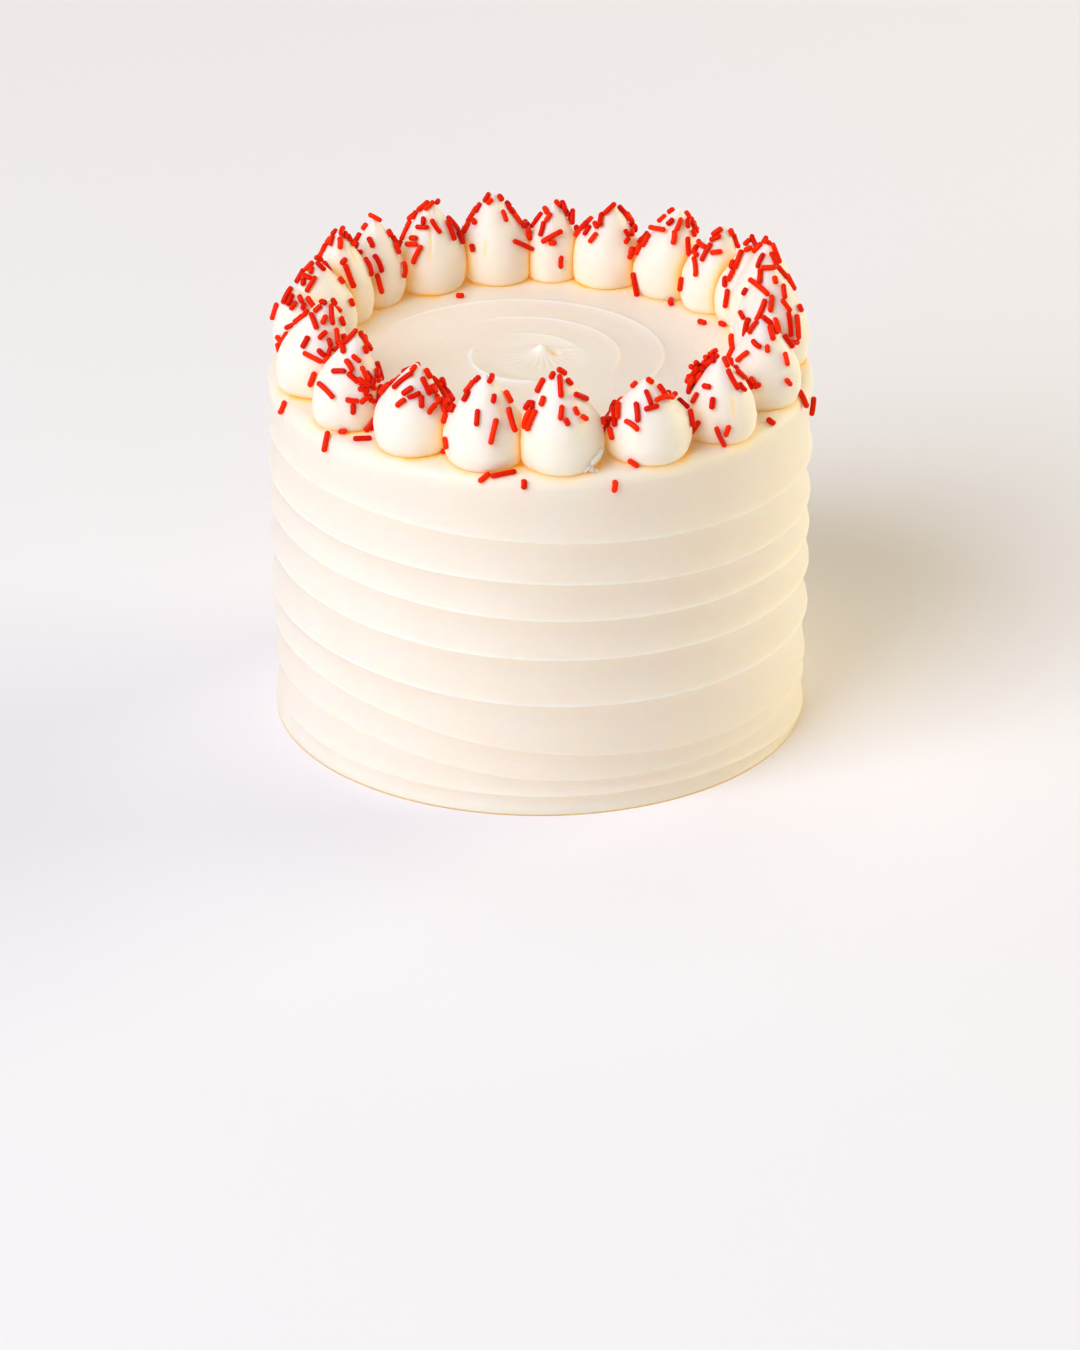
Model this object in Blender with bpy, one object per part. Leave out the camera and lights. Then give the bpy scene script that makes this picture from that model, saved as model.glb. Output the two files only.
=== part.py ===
"""Six-inch red velvet layer cake, whole, in ivory cream icing.

A spatula drawn up the turning side has left one sharp ridge that winds round it with hollow bands
between its laps. The top carries a swirl, and a ring of pointed piped kisses stands round the edge
with red sugar sprinkles over them.
Metres, +Z up. The origin is the centre of the underside, and the front is -Y.
"""

import math
import random

import bmesh
import bpy
from mathutils import Matrix, Vector

MM = 0.001

# Cake body
CAKE_HEIGHT = 112.2 * MM
FOOT_RADIUS = 82.2 * MM
SHOULDER_RADIUS = 83.2 * MM
RIM_ROUND = 4.0 * MM
FOOT_BEVEL = 0.6 * MM
CHANNEL_DEPTH = 1.5 * MM
RIM_START = CAKE_HEIGHT - RIM_ROUND
CHANNEL_STEPS = (0.2, 0.8)

# Winding ridge, in mm: each lap's height at the right, front right, front, front left and left,
# and how far each lap stands out. Between the left and the next lap's right it climbs evenly.
RIDGE_LAPS = (
    (0.6, 5.3, 6.5, 7.0, 7.3),
    (12.0, 11.1, 11.8, 18.3, 19.6),
    (18.8, 16.9, 21.2, 29.6, 33.0),
    (34.6, 35.5, 37.2, 40.9, 43.2),
    (49.4, 50.7, 52.7, 55.6, 57.4),
    (61.2, 63.2, 65.6, 69.0, 71.0),
    (72.4, 74.0, 77.8, 80.2, 82.6),
    (86.6, 88.3, 91.3, 94.5, 95.8),
)
LAP_STRENGTHS = (0.6, 0.35, 0.55, 0.9, 1.0, 0.9, 0.9, 1.0, 0.8)
STEPS_PER_LAP = 8
BACK_STEPS = 4

BODY_SEGMENTS = 48
SEAM_MERGE = 0.001 * MM
RIM_STEPS = 3
TOP_RINGS = (60.0 * MM, 50.0 * MM, 41.0 * MM, 33.5 * MM, 27.0 * MM, 21.5 * MM, 16.0 * MM, 10.5 * MM,
             5.0 * MM)

# Spatula swirl on the top: first angle, last angle, first radius, last radius, height
SWIRL_ARCS = (
    (-34.0, 154.0, 33.5 * MM, 55.0 * MM, 0.7 * MM),
    (-10.0, 125.0, 25.0 * MM, 38.5 * MM, 0.7 * MM),
    (140.0, 282.0, 24.0 * MM, 12.5 * MM, 1.2 * MM),
)
SWIRL_WIDTH = 4.5 * MM
SWIRL_FADE = 25.0
SWIRL_PEAK = (0.3 * MM, 9.3 * MM, 2.2 * MM, 4.5 * MM)
SWIRL_LIMIT = 58.0 * MM

# Piped kisses, anticlockwise from +X: angle, ring radius, width, height, lean along X and Y
KISSES = (
    (3.0, 70.5, 23.0, 31.5, -1.2, 0.6),
    (17.0, 71.0, 20.5, 32.0, 1.8, 0.0),
    (29.0, 71.0, 17.0, 25.5, 2.5, -0.5),
    (41.0, 69.0, 18.0, 26.5, 4.6, 0.8),
    (55.5, 69.0, 20.0, 27.0, 4.0, 1.0),
    (72.5, 68.5, 20.5, 25.5, 1.8, -0.6),
    (87.0, 68.5, 15.5, 24.5, 1.0, 0.6),
    (101.0, 69.0, 20.5, 27.5, -1.9, 0.8),
    (119.0, 69.0, 19.5, 28.5, -0.6, -0.5),
    (136.0, 71.0, 18.0, 26.5, 0.2, 0.6),
    (149.0, 70.0, 18.0, 28.5, -1.7, 0.4),
    (160.5, 69.5, 20.0, 24.0, -3.0, 0.5),
    (174.5, 71.0, 20.0, 22.5, -4.2, -0.6),
    (193.0, 71.0, 22.0, 28.5, 5.2, 0.8),
    (215.0, 71.5, 20.0, 28.0, 4.2, 0.5),
    (237.0, 70.5, 21.5, 27.0, 1.8, -0.8),
    (256.5, 71.0, 22.5, 27.0, 0.9, 0.7),
    (275.0, 71.5, 23.5, 29.0, -1.5, 0.5),
    (297.0, 71.5, 24.0, 24.0, -0.9, -0.7),
    (317.5, 73.5, 20.5, 24.0, -0.9, 0.9),
    (340.0, 72.0, 22.0, 25.5, -1.2, 0.4),
)
KISS_PROFILE = ((0.0, 0.80), (0.08, 0.93), (0.21, 1.0), (0.36, 0.98), (0.51, 0.88), (0.65, 0.71),
                (0.79, 0.48), (0.91, 0.24))
KISS_SEGMENTS = 12
LEAN_POWER = 1.6
GAP = 0.3 * MM
PRESS_ROUND = 0.35 * MM

# Sugar sprinkles
ROD_RADIUS = 0.95 * MM
ROD_SIDES = 5
ROD_LENGTHS = (4.6 * MM, 8.0 * MM)
ROD_RISE = 0.30
RODS_PER_KISS = 7
ROD_SPACING = 3.3 * MM
ROD_HEIGHT_SHARES = (0.36, 0.94)
ROD_HEIGHT_BIAS = 0.8
ROD_TWIST = 1.4
ROD_MARGIN = 1.3 * ROD_RADIUS
ROD_TRIES = 400
SPRINKLE_SEED = 27

# Steps that a surface's normal is measured over
SHARE_STEP = 0.01
SIDE_STEP = 0.2 * MM

# Strays on the side: angle, height, length, turn from upright
SIDE_STRAYS = (
    (203.0, 107.5, 4.8, 4.0),
    (221.0, 105.5, 7.0, -6.0),
    (257.5, 107.6, 5.4, -42.0),
    (262.5, 107.3, 8.2, -66.0),
    (267.5, 107.4, 3.6, 2.0),
    (284.5, 106.8, 4.0, 2.0),
    (344.0, 106.6, 6.6, -2.0),
    (350.5, 104.6, 6.2, -6.0),
    (24.0, 106.0, 5.8, 30.0),
    (97.0, 104.0, 6.4, -12.0),
    (131.0, 107.0, 5.0, 58.0),
)
# Strays on the top: angle, radius, length, turn from the radius
TOP_STRAYS = (
    (117.0, 55.5, 3.0, 80.0),
    (49.5, 58.0, 3.2, 30.0),
    (31.0, 57.0, 4.2, 55.0),
    (199.0, 56.0, 5.0, 20.0),
    (268.0, 56.5, 4.4, 70.0),
    (326.0, 57.0, 4.8, 35.0),
    (327.5, 81.0, 4.2, 60.0),
    (226.0, 78.5, 5.4, 88.0),
)

ICING_COLOUR = (0.93, 0.86, 0.70, 1.0)
SPRINKLE_COLOUR = (0.72, 0.02, 0.01, 1.0)
SMOOTH_ANGLE = math.radians(35)


def clear_scene():
    """Start from an empty scene."""
    for obj in list(bpy.data.objects):
        bpy.data.objects.remove(obj, do_unlink=True)


def make_material(name, colour, roughness):
    """A plain Principled material."""
    material = bpy.data.materials.new(name)
    material.use_nodes = True
    shader = material.node_tree.nodes["Principled BSDF"]
    shader.inputs["Base Color"].default_value = colour
    shader.inputs["Roughness"].default_value = roughness
    shader.inputs["Metallic"].default_value = 0.0
    return material


def add_object(name, bm, materials):
    """Turn a bmesh into a named object with its materials, shaded smooth."""
    mesh = bpy.data.meshes.new(name)
    bmesh.ops.recalc_face_normals(bm, faces=bm.faces)
    bm.to_mesh(mesh)
    bm.free()
    for material in materials:
        mesh.materials.append(material)
    mesh.shade_smooth()
    mesh.set_sharp_from_angle(angle=SMOOTH_ANGLE)
    obj = bpy.data.objects.new(name, mesh)
    bpy.context.scene.collection.objects.link(obj)
    return obj


def turn_at(index, segments):
    """Angle of one vertex of a ring."""
    return math.tau * index / segments


def bridge_rings(bm, rings):
    """Quads between each ring and the next."""
    for lower, upper in zip(rings, rings[1:]):
        count = len(lower)
        for i in range(count):
            j = (i + 1) % count
            bm.faces.new((lower[i], lower[j], upper[j], upper[i]))


def ridge_knots():
    """Heights of the ridge at every eighth of a turn, the unseen back climbing evenly."""
    ends = [lap[0] * MM for lap in RIDGE_LAPS[1:]] + [RIM_START]
    knots = []
    for lap, end in zip(RIDGE_LAPS, ends):
        left = lap[-1] * MM
        knots += [height * MM for height in lap]
        knots += [left + (end - left) * step / BACK_STEPS for step in range(1, BACK_STEPS)]
    return knots + [RIM_START]


KNOTS = ridge_knots()


def ridge_height(winding):
    """Height of the ridge after so many laps, on a smooth curve through its knots."""
    place = winding * STEPS_PER_LAP
    i = min(int(place), len(KNOTS) - 2)
    part = place - i
    before, low, high = KNOTS[max(i - 1, 0)], KNOTS[i], KNOTS[i + 1]
    after = KNOTS[min(i + 2, len(KNOTS) - 1)]
    cubic = 3 * (low - high) + after - before
    square = 2 * before - 5 * low + 4 * high - after
    return low + 0.5 * part * (high - before + part * (square + part * cubic))


def ridge_strength(winding):
    """How far the ridge stands out after so many laps."""
    lap = min(int(winding), len(RIDGE_LAPS) - 1)
    first, last = LAP_STRENGTHS[lap], LAP_STRENGTHS[lap + 1]
    return first + (last - first) * (winding - lap)


def wall_radius(height):
    """Radius of the side where the ridges stand, a little wider at the shoulder."""
    return FOOT_RADIUS + (SHOULDER_RADIUS - FOOT_RADIUS) * height / CAKE_HEIGHT


def cusp(share):
    """Hollow curve that falls from a sharp ridge to the middle of its channel."""
    return max(0.0, 1.0 - share) ** 2


def ease(share):
    """Smooth rise from 0 to 1, level at both ends."""
    return share * share * (3.0 - 2.0 * share)


def band_edges(lap_share):
    """Heights where the bands meet: foot, each lap of the ridge, and the start of the rim."""
    ridges = [ridge_height(lap + lap_share) for lap in range(len(RIDGE_LAPS))]
    return [FOOT_BEVEL] + ridges + [RIM_START]


def edge_strengths(lap_share):
    """How far each of the band edges stands out."""
    ridges = [ridge_strength(lap + lap_share) for lap in range(len(RIDGE_LAPS))]
    return [LAP_STRENGTHS[0]] + ridges + [LAP_STRENGTHS[-1]]


def side_radius(band, share, lap_share):
    """Radius and height part of the way up one band of the side, part of the way round a lap."""
    edges = band_edges(lap_share)
    strengths = edge_strengths(lap_share)
    height = edges[band] + (edges[band + 1] - edges[band]) * share
    smooth = ease(min(1.0, max(0.0, band + lap_share - len(RIDGE_LAPS) + 1)))
    upper = cusp(2 * (1 - share)) * (1 - smooth) + ease(share) * smooth
    stand = strengths[band] * cusp(2 * share) + strengths[band + 1] * upper
    return wall_radius(height) - CHANNEL_DEPTH * (1 - stand), height


def side_row_plan():
    """Band and share of each row of the side, from the foot up."""
    bands = len(RIDGE_LAPS) + 1
    plan = [(band, share) for band in range(bands) for share in (0.0,) + CHANNEL_STEPS]
    return plan + [(bands - 1, 1.0)]


def swirl_arc_height(arc, radius, degrees):
    """Height that one spatula arc adds at a place on the top."""
    first, last, first_radius, last_radius, height = arc
    degrees = first + (degrees - first) % 360.0
    if degrees > last:
        return 0.0
    share = (degrees - first) / (last - first)
    crest = first_radius + (last_radius - first_radius) * share
    fade = min(1.0, (degrees - first) / SWIRL_FADE, (last - degrees) / SWIRL_FADE)
    return height * fade * math.exp(-(((radius - crest) / SWIRL_WIDTH) ** 2))


def top_height(x, y):
    """Height of the iced top, flat under the kisses."""
    radius = math.hypot(x, y)
    if radius >= SWIRL_LIMIT:
        return CAKE_HEIGHT
    degrees = math.degrees(math.atan2(y, x))
    relief = sum(swirl_arc_height(arc, radius, degrees) for arc in SWIRL_ARCS)
    peak_x, peak_y, peak_height, peak_width = SWIRL_PEAK
    distance = math.hypot(x - peak_x, y - peak_y)
    relief += peak_height * math.exp(-((distance / peak_width) ** 2))
    return CAKE_HEIGHT + relief


def ring_vertices(bm, segments, place):
    """One ring of vertices, each at place(turn)."""
    return [bm.verts.new(place(turn_at(i, segments))) for i in range(segments)]


def polar(radius, turn, height):
    """Point at a radius, an angle and a height."""
    return Vector((radius * math.cos(turn), radius * math.sin(turn), height))


def turn_of(lap_share):
    """Angle from +X of a place part of the way round a lap: laps start at the right and run
    past the front, the left and the back."""
    return -math.tau * lap_share


def side_point(band, share, lap_share):
    """Point on the side."""
    radius, height = side_radius(band, share, lap_share)
    return polar(radius, turn_of(lap_share), height)


def rim_point(step, lap_share):
    """Point on the rounded rim."""
    start, height = side_radius(len(RIDGE_LAPS), 1.0, lap_share)
    angle = 0.5 * math.pi * step / RIM_STEPS
    radius = start - RIM_ROUND * (1 - math.cos(angle))
    return polar(radius, turn_of(lap_share), height + RIM_ROUND * math.sin(angle))


def top_point(radius, turn):
    """Point on the iced top."""
    x, y = radius * math.cos(turn), radius * math.sin(turn)
    return Vector((x, y, top_height(x, y)))


def cake_places():
    """Places of the rows of the icing, from the foot up the side and over the top to its centre,
    each a function of the share of a lap."""
    rows = [lambda s: polar(FOOT_RADIUS - FOOT_BEVEL, turn_of(s), 0.0)]
    rows += [lambda s, b=band, h=share: side_point(b, h, s) for band, share in side_row_plan()]
    rows += [lambda s, k=step: rim_point(k, s) for step in range(1, RIM_STEPS + 1)]
    rows += [lambda s, r=radius: top_point(r, turn_of(s)) for radius in TOP_RINGS + (0.0,)]
    return rows


def build_cake(icing, sprinkle):
    """The solid iced cake, before its strays are joined on.

    It is a sheet wrapped once round. Where its ends meet, each band meets the band above it,
    because the ridge has climbed by one lap."""
    bm = bmesh.new()
    shares = [i / BODY_SEGMENTS for i in range(BODY_SEGMENTS + 1)]
    rows = [[bm.verts.new(place(share)) for share in shares] for place in cake_places()]
    for lower, upper in zip(rows, rows[1:]):
        for i in range(BODY_SEGMENTS):
            bm.faces.new((lower[i], lower[i + 1], upper[i + 1], upper[i]))
    bmesh.ops.remove_doubles(bm, verts=bm.verts, dist=SEAM_MERGE)
    bmesh.ops.holes_fill(bm, edges=bm.edges)
    return add_object("iced_cake", bm, (icing, sprinkle))


class Kiss:
    """One piped kiss: where it stands, its size, its lean, and the room its neighbours leave."""

    def __init__(self, row):
        angle, ring, width, height, lean_x, lean_y = row
        self.centre = polar(ring * MM, math.radians(angle), CAKE_HEIGHT + GAP)
        self.radius = 0.5 * width * MM
        self.height = height * MM
        self.lean = Vector((lean_x * MM, lean_y * MM, 0.0))
        self.limits = []

    def press_against(self, other):
        """Flatten towards a neighbour, each as far as its own size allows."""
        across = other.centre - self.centre
        share = self.radius / (self.radius + other.radius)
        room = across.length * share - 0.5 * GAP
        self.limits.append((across.normalized(), room))

    def axis(self, share):
        """Middle of the kiss part of the way up."""
        rise = Vector((0.0, 0.0, self.height * share))
        return self.centre + self.lean * share ** LEAN_POWER + rise

    def point(self, share, girth, turn):
        """Surface point at a height share, with a radius share, at an angle."""
        outward = Vector((math.cos(turn), math.sin(turn), 0.0))
        middle = self.axis(share)
        reach = math.exp(-self.radius * girth / PRESS_ROUND)
        for direction, room in self.limits:
            facing = outward.dot(direction)
            if facing > 0:
                limit = (room - (middle - self.centre).dot(direction)) / facing
                reach += math.exp(-limit / PRESS_ROUND)
        return middle - outward * PRESS_ROUND * math.log(reach)

    def has_room(self, place, margin):
        """Whether a place stays on this kiss's own side of its neighbours."""
        offset = place - self.centre
        return all(offset.dot(direction) + margin < room for direction, room in self.limits)


def make_kisses():
    """All kisses in order, each pressed against the two beside it."""
    kisses = [Kiss(row) for row in KISSES]
    for i, kiss in enumerate(kisses):
        kiss.press_against(kisses[i - 1])
        kiss.press_against(kisses[(i + 1) % len(kisses)])
    return kisses


def girth_at(share):
    """Radius share of a kiss at a height share, read between the profile's points."""
    points = KISS_PROFILE + ((1.0, 0.0),)
    for (low, low_girth), (high, high_girth) in zip(points, points[1:]):
        if share <= high:
            return low_girth + (high_girth - low_girth) * (share - low) / (high - low)
    return 0.0


def build_kiss(name, kiss, icing, sprinkle):
    """One kiss as a closed turned form with a pointed tip."""
    bm = bmesh.new()
    rings = []
    for share, girth in KISS_PROFILE:
        rings.append(ring_vertices(bm, KISS_SEGMENTS, lambda t: kiss.point(share, girth, t)))
    bridge_rings(bm, rings)
    bm.faces.new(list(reversed(rings[0])))
    tip = bm.verts.new(kiss.axis(1.0))
    for i in range(KISS_SEGMENTS):
        bm.faces.new((rings[-1][i], rings[-1][(i + 1) % KISS_SEGMENTS], tip))
    return add_object(name, bm, (icing, sprinkle))


def add_rod(place, along, length, sprinkle):
    """One sugar rod."""
    bm = bmesh.new()
    bmesh.ops.create_cone(bm, cap_ends=True, segments=ROD_SIDES,
                          radius1=ROD_RADIUS, radius2=ROD_RADIUS, depth=length)
    turn = along.to_track_quat("Z", "X").to_matrix().to_4x4()
    bmesh.ops.transform(bm, matrix=Matrix.Translation(place) @ turn, verts=bm.verts)
    return add_object("rod", bm, (sprinkle,))


def surface_frame(point_at, u, v, step):
    """Point, outward normal and upward tangent of a surface given as point_at(u, v)."""
    place = point_at(u, v)
    across = point_at(u, v + step) - place
    up = point_at(u + step, v) - place
    return place, across.cross(up).normalized(), up.normalized()


def turned(direction, axis, angle):
    """A direction turned about an axis."""
    return Matrix.Rotation(angle, 3, axis) @ direction


def scatter_on_kiss(kiss, draw, sprinkle):
    """Rods over the upper part of one kiss, clear of its neighbours."""
    rods, places = [], []
    low, high = ROD_HEIGHT_SHARES
    for _ in range(ROD_TRIES):
        if len(rods) == RODS_PER_KISS:
            break
        share = low + (high - low) * draw.random() ** ROD_HEIGHT_BIAS
        turn = draw.uniform(0.0, math.tau)
        length = draw.uniform(*ROD_LENGTHS)
        twist = draw.uniform(-ROD_TWIST, ROD_TWIST)
        place, normal, up = surface_frame(
            lambda s, t: kiss.point(s, girth_at(s), t), share, turn, SHARE_STEP)
        place = place + normal * ROD_RADIUS * ROD_RISE
        along = turned(up, normal, twist)
        ends = [place + along * 0.5 * length * side for side in (-1, 1)]
        apart = all((place - other).length > ROD_SPACING for other in places)
        if apart and all(kiss.has_room(end, ROD_MARGIN) for end in ends):
            places.append(place)
            rods.append(add_rod(place, along, length, sprinkle))
    return rods


def height_on_side(height, turn):
    """Point on the side at a height, in whichever band that is."""
    lap_share = -turn / math.tau % 1.0
    edges = band_edges(lap_share)
    band = max(i for i in range(len(edges) - 1) if edges[i] <= height)
    share = (height - edges[band]) / (edges[band + 1] - edges[band])
    return side_point(band, min(share, 1.0), lap_share)


def stray_rods(sprinkle):
    """The single rods that fell on the side and the top."""
    rods = []
    for angle, height, length, lean in SIDE_STRAYS:
        place, normal, up = surface_frame(
            lambda h, t: height_on_side(h, t), height * MM, math.radians(angle), SIDE_STEP)
        along = turned(up, normal, math.radians(lean))
        rods.append(add_rod(place + normal * ROD_RADIUS * ROD_RISE, along, length * MM, sprinkle))
    for angle, radius, length, lean in TOP_STRAYS:
        place = top_point(radius * MM, math.radians(angle))
        place.z += ROD_RADIUS * ROD_RISE
        along = polar(1.0, math.radians(angle + lean), 0.0)
        rods.append(add_rod(place, along, length * MM, sprinkle))
    return rods


def keep_largest_shell(mesh):
    """Leave only the outer shell: fill sealed hollows and drop loose scraps."""
    bm = bmesh.new()
    bm.from_mesh(mesh)
    left = set(bm.faces)
    shells = []
    while left:
        shell, edge_of_search = set(), [left.pop()]
        while edge_of_search:
            face = edge_of_search.pop()
            shell.add(face)
            for edge in face.edges:
                for other in edge.link_faces:
                    if other in left:
                        left.remove(other)
                        edge_of_search.append(other)
        shells.append(shell)
    shells.sort(key=lambda faces: sum(face.calc_area() for face in faces))
    spare = [face for shell in shells[:-1] for face in shell]
    bmesh.ops.delete(bm, geom=spare, context="FACES")
    bm.to_mesh(mesh)
    bm.free()


def join_rods(obj, rods):
    """One Boolean union of an object with its rods, applied, with the rods then removed."""
    group = bpy.data.collections.new(obj.name + "_sprinkles")
    bpy.context.scene.collection.children.link(group)
    for rod in rods:
        group.objects.link(rod)
        bpy.context.scene.collection.objects.unlink(rod)
    modifier = obj.modifiers.new("sprinkles", "BOOLEAN")
    modifier.operation = "UNION"
    modifier.operand_type = "COLLECTION"
    modifier.collection = group
    modifier.solver = "EXACT"
    modifier.material_mode = "TRANSFER"
    bpy.context.view_layer.update()
    whole = obj.evaluated_get(bpy.context.evaluated_depsgraph_get())
    joined = bpy.data.meshes.new_from_object(whole)
    obj.modifiers.clear()
    obj.data = joined
    for rod in rods:
        bpy.data.objects.remove(rod, do_unlink=True)
    bpy.data.collections.remove(group)
    keep_largest_shell(joined)


def build():
    """The iced cake with its strays, and the ring of kisses with their sprinkles."""
    clear_scene()
    icing = make_material("icing", ICING_COLOUR, 0.5)
    sprinkle = make_material("sprinkle", SPRINKLE_COLOUR, 0.35)
    draw = random.Random(SPRINKLE_SEED)
    cake = build_cake(icing, sprinkle)
    join_rods(cake, stray_rods(sprinkle))
    for number, kiss in enumerate(make_kisses(), 1):
        piped = build_kiss(f"kiss_{number:02d}", kiss, icing, sprinkle)
        join_rods(piped, scatter_on_kiss(kiss, draw, sprinkle))


build()
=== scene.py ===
"""Looks of a six-inch red velvet layer cake in ivory cream icing.

The icing is drawn up the side in one winding ridge, swirled on the top and piped in a ring of
pointed kisses, and red sugar sprinkles lie over the kisses. Metres, +Z up, front at -Y.
"""

import itertools
import math
import random

import bpy
from mathutils import Matrix, Vector, noise
from mathutils.bvhtree import BVHTree


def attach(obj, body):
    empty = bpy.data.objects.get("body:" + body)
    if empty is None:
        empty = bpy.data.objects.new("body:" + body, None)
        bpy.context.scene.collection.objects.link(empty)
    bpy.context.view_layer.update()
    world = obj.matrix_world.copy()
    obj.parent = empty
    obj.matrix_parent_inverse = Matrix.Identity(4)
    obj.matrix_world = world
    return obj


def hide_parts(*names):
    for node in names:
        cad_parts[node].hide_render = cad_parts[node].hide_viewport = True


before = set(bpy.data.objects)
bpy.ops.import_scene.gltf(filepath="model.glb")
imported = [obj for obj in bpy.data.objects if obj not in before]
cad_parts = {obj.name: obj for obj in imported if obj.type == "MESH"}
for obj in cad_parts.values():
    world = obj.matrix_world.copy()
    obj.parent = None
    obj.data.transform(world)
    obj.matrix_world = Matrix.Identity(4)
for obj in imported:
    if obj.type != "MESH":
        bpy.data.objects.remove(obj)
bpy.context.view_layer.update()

MM = 0.001
UP = Vector((0.0, 0.0, 1.0))

# Camera, and the photo's frame in pixels
CAMERA_PLACE = Vector((0.0, -2.0831, 1.0417))
CAMERA_AIM = Vector((0.0, 0.0, 0.0068))
LENS = 200.0
SENSOR = 36.0
PHOTO_WIDTH = 1080
PHOTO_HEIGHT = 1350

# Cake body, as the solid has it
CAKE_HEIGHT = 112.2 * MM
FOOT_RADIUS = 82.2 * MM
SHOULDER_RADIUS = 83.2 * MM
RIM_ROUND = 4.0 * MM
FOOT_BEVEL = 0.6 * MM
CHANNEL_DEPTH = 1.5 * MM
RIM_START = CAKE_HEIGHT - RIM_ROUND

# Winding ridge, in mm: each lap's height at the right, front right, front, front left and left
RIDGE_LAPS = (
    (0.6, 5.3, 6.5, 7.0, 7.3),
    (12.0, 11.1, 11.8, 18.3, 19.6),
    (18.8, 16.9, 21.2, 29.6, 33.0),
    (34.6, 35.5, 37.2, 40.9, 43.2),
    (49.4, 50.7, 52.7, 55.6, 57.4),
    (61.2, 63.2, 65.6, 69.0, 71.0),
    (72.4, 74.0, 77.8, 80.2, 82.6),
    (86.6, 88.3, 91.3, 94.5, 95.8),
)
LAP_STRENGTHS = (0.6, 0.35, 0.55, 0.9, 1.0, 0.9, 0.9, 1.0, 0.8)
LIP_STRENGTHS = (0.0, 0.3, 0.4, 1.0, 0.9, 0.8, 0.8, 1.0, 0.0)
STEPS_PER_LAP = 8
BACK_STEPS = 4
LIP_DEPTH = 0.20 * MM
LIP_ABOVE = 0.5 * MM
LIP_BELOW = 0.2 * MM
# Painted shade under each lip and by the foot, and a painted highlight along each lip
LIP_SHADE = 0.05
LIP_LIGHT = 1.0
LIP_LEAST = 0.25
FOOT_SHADE = 0.30
FOOT_REACH = 1.0 * MM
SHADE_REACH = 1.4 * MM
SHADE_START = 0.3 * MM
# Soft unevenness: its height, the size of its bumps, and where in the noise it starts
LIP_RAGS = (0.5, 5 * MM, 3.0)
LIP_LEVEL = 0.75
LONG_SWELL = (0.30 * MM, 34 * MM, 7.0)
SHORT_SWELL = (0.10 * MM, 9 * MM, 11.0)
TOP_SWELL = (0.16 * MM, 22 * MM, 5.0)
SWELL_START = 6 * MM

# Mesh of the icing sheet
TURN_STEPS = 288
BAND_ROWS = 12
RIM_ROWS = 8
OUTER_TOP_ROWS = 16
INNER_TOP_ROWS = 146
INNER_TOP_RADIUS = 60.0 * MM
SEAM_MERGE = 0.002 * MM

# Spatula swirl: first angle, last angle, first radius, last radius, height, then the painted
# shade (above 0) or painted highlight (below 0) on the crest at the first and at the last angle
SWIRL_ARCS = (
    (-34.0, 154.0, 33.5 * MM, 55.0 * MM, 0.65 * MM, 0.20, -0.75),
    (-14.0, 125.0, 22.0 * MM, 38.5 * MM, 0.6 * MM, 0.26, -0.5),
    (44.0, 120.0, 16.5 * MM, 25.0 * MM, 0.55 * MM, 0.12, -0.5),
    (140.0, 276.0, 24.0 * MM, 12.5 * MM, 1.15 * MM, -1.0, -1.0),
)
SWIRL_FADE = 22.0
ARC_CREST = 0.55 * MM
ARC_FLANK = 2.6 * MM
ARC_BANK = 0.30
SWIRL_PEAK = Vector((0.3 * MM, 9.3 * MM, 0.0))
SWIRL_LIMIT = 58.0 * MM
SWIRL_EDGE = 6 * MM
# Middle of the swirl, in mm from its peak. Bumps: height and width
PEAK_BUMP = (2.9, 2.9)
PEAK_FOOT = (0.5, 9.0)
# Small ridge to the right of the peak: height, width, distance behind it, slant, start and end
TAIL_HEIGHT = 0.8
TAIL_WIDTH = 0.8
TAIL_PLACE = (1.6, 0.10)
TAIL_START = 4.0
TAIL_END = (14.0, 7.0)
# Fine streaks in front of the peak: height, number, twist, and where they run
STREAK_HEIGHT = 0.16
STREAK_COUNT = 25.0
STREAK_TWIST = 0.25
STREAK_PLACE = (6.0, 4.5)
# Shallow bowl that the whole swirl lies in: centre, depth, radius and width of its slope
BOWL_CENTRE = (-2 * MM, 4 * MM)
BOWL_DEPTH = 0.8
BOWL_EDGE = (17.0, 6.0)
# Oval spots: height, painted shade or painted highlight, place to the right of and behind
# the peak, and the two spreads
DIMPLE = (1.5, 4.2, -0.4, 1.6, 1.2)
DIMPLE_PAINTED_SHADE = (0.85, 4.2, -0.4, 1.3, 0.8)
PEAK_PAINTED_HIGHLIGHT = (0.9, -0.8, -0.6, 1.5, 3.0)

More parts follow.
